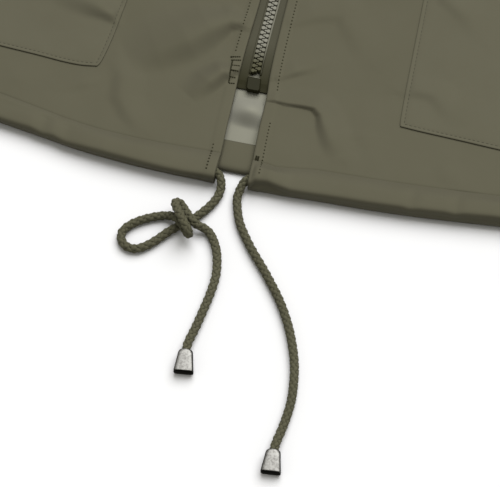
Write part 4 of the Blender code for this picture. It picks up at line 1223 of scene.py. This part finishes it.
def build_stitches():
    """Rows of stitches and needle marks, and the bar tacks."""
    for side, word in SIDES:
        column = 1 if side < 0 else 2
        edge = edge_x(side, CASING_DEPTH) + HEM_STITCH_IN
        x = side * mix(edge, SIDE_HEM_X - HEM_STITCH_OUT, shares(HEM_STITCH_POINTS))
        hem = xyz(x, hem_y(x) + hem_stitch(x), STITCH_Z + CLOTH / 2 - HEM_STITCH_SINK)
        rise = np.linspace(*POCKET_STITCH_Y, POCKET_STITCH_POINTS)
        up = on_pocket(side, through(POCKET_EDGE, rise, column) + POCKET_STITCH_IN, POCKET_BASE_Y + rise)
        x = np.linspace(POCKET_STITCH_X, POCKET_OUT_X - POCKET_STITCH_IN, POCKET_STITCH_POINTS)
        low = on_pocket(side, x, through(POCKET_LOW, x, column) + POCKET_STITCH_IN)
        stitches = [spot for line in (hem, up, low) for spot in stitch_places(line)]
        # Hem and pocket stitches carry the painted shade of their grooves
        place(many("stitches_" + word, capsule_loops(STITCH_SHOWN, THREAD), stitches, THREAD_SHADE), "shell")
        marks = []
        for start, end in TOPSTITCH_RUNS[word]:
            y = np.linspace(start, end, max(MARK_POINTS, int((end - start) / MARK_SPACING)))
            x = side * (edge_x(side, y) + TOPSTITCH_IN)
            marks += stitch_places(on_front(x, y, -MARK_SINK), MARK_PITCH)
        # Needle marks are dark dots of painted shade
        place(many("topstitch_" + word, capsule_loops(MARK_LENGTH, MARK_R), marks, DOT_SHADE), "shell")
        tacks = []
        for x0, y0, x1, y1 in BAR_TACKS[word]:
            share = shares(TACK_POINTS)
            line = on_front(mix(x0, x1, share), mix(y0, y1, share), TACK_LIFT)
            tacks += stitch_places(line, TACK_PITCH, 0.0)
        # Bar tacks carry painted shade
        place(many("bar_tack_" + word, capsule_loops(TACK_LENGTH, TACK_R), tacks, TACK_SHADE), "shell")


def build_slider():
    for name in ("zip_slider", "zip_pull"):
        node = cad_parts[name]
        node.data.materials.clear()
        node.data.materials.append(SLIDER_SHADE)
        round_edge = node.modifiers.new("edges", "BEVEL")
        round_edge.width = SLIDER_ROUND
        round_edge.segments = 2


def stand(name, data, aim, away, turn, rise):
    """A light or the camera, looking at a point from a heading and a height."""
    turn, rise = math.radians(turn), math.radians(rise)
    back = Vector((math.sin(turn) * math.cos(rise), -math.cos(turn) * math.cos(rise), math.sin(rise)))
    made = add_object(name, data)
    made.location = Vector(aim) + back * away
    made.rotation_mode = "QUATERNION"
    made.rotation_quaternion = back.to_track_quat("Z", "Y")
    return made


def build_stage():
    mesh = bpy.data.meshes.new("floor")
    corners = [(x * FLOOR_HALF, y * FLOOR_HALF, -FLOOR_DROP) for x, y in ((-1, -1), (1, -1), (1, 1), (-1, 1))]
    mesh.from_pydata(corners, [], [(0, 1, 2, 3)])
    mesh.materials.append(FLOOR_SHADE)
    floor = add_object("floor", mesh)
    sun = bpy.data.lights.new("key", "SUN")
    sun.energy = SUN_STRENGTH
    sun.angle = math.radians(SUN_SOFT)
    stand("key", sun, (0.0, 0.0, 0.0), 0.0, SUN_TURN, SUN_RISE)
    world = bpy.data.worlds.new("studio")
    world.use_nodes = True
    sky = world.node_tree.nodes["Background"]
    sky.inputs["Color"].default_value = (*SKY, 1.0)
    sky.inputs["Strength"].default_value = SKY_STRENGTH
    bpy.context.scene.world = world
    bpy.context.scene.view_settings.view_transform = "Standard"


def build_camera():
    data = bpy.data.cameras.new("camera")
    data.lens = CAMERA_LENS
    data.sensor_width = SENSOR
    data.clip_start, data.clip_end = CAMERA_CLIP
    aim = (np.array(CAMERA_AIM) - MIDDLE) * MM
    bpy.context.scene.camera = stand("camera", data, aim, CAMERA_AWAY * MM, CAMERA_TURN, CAMERA_RISE)


build_camera()
build_stage()
build_cords()
build_cloth()
build_zip()
build_stitches()
build_slider()
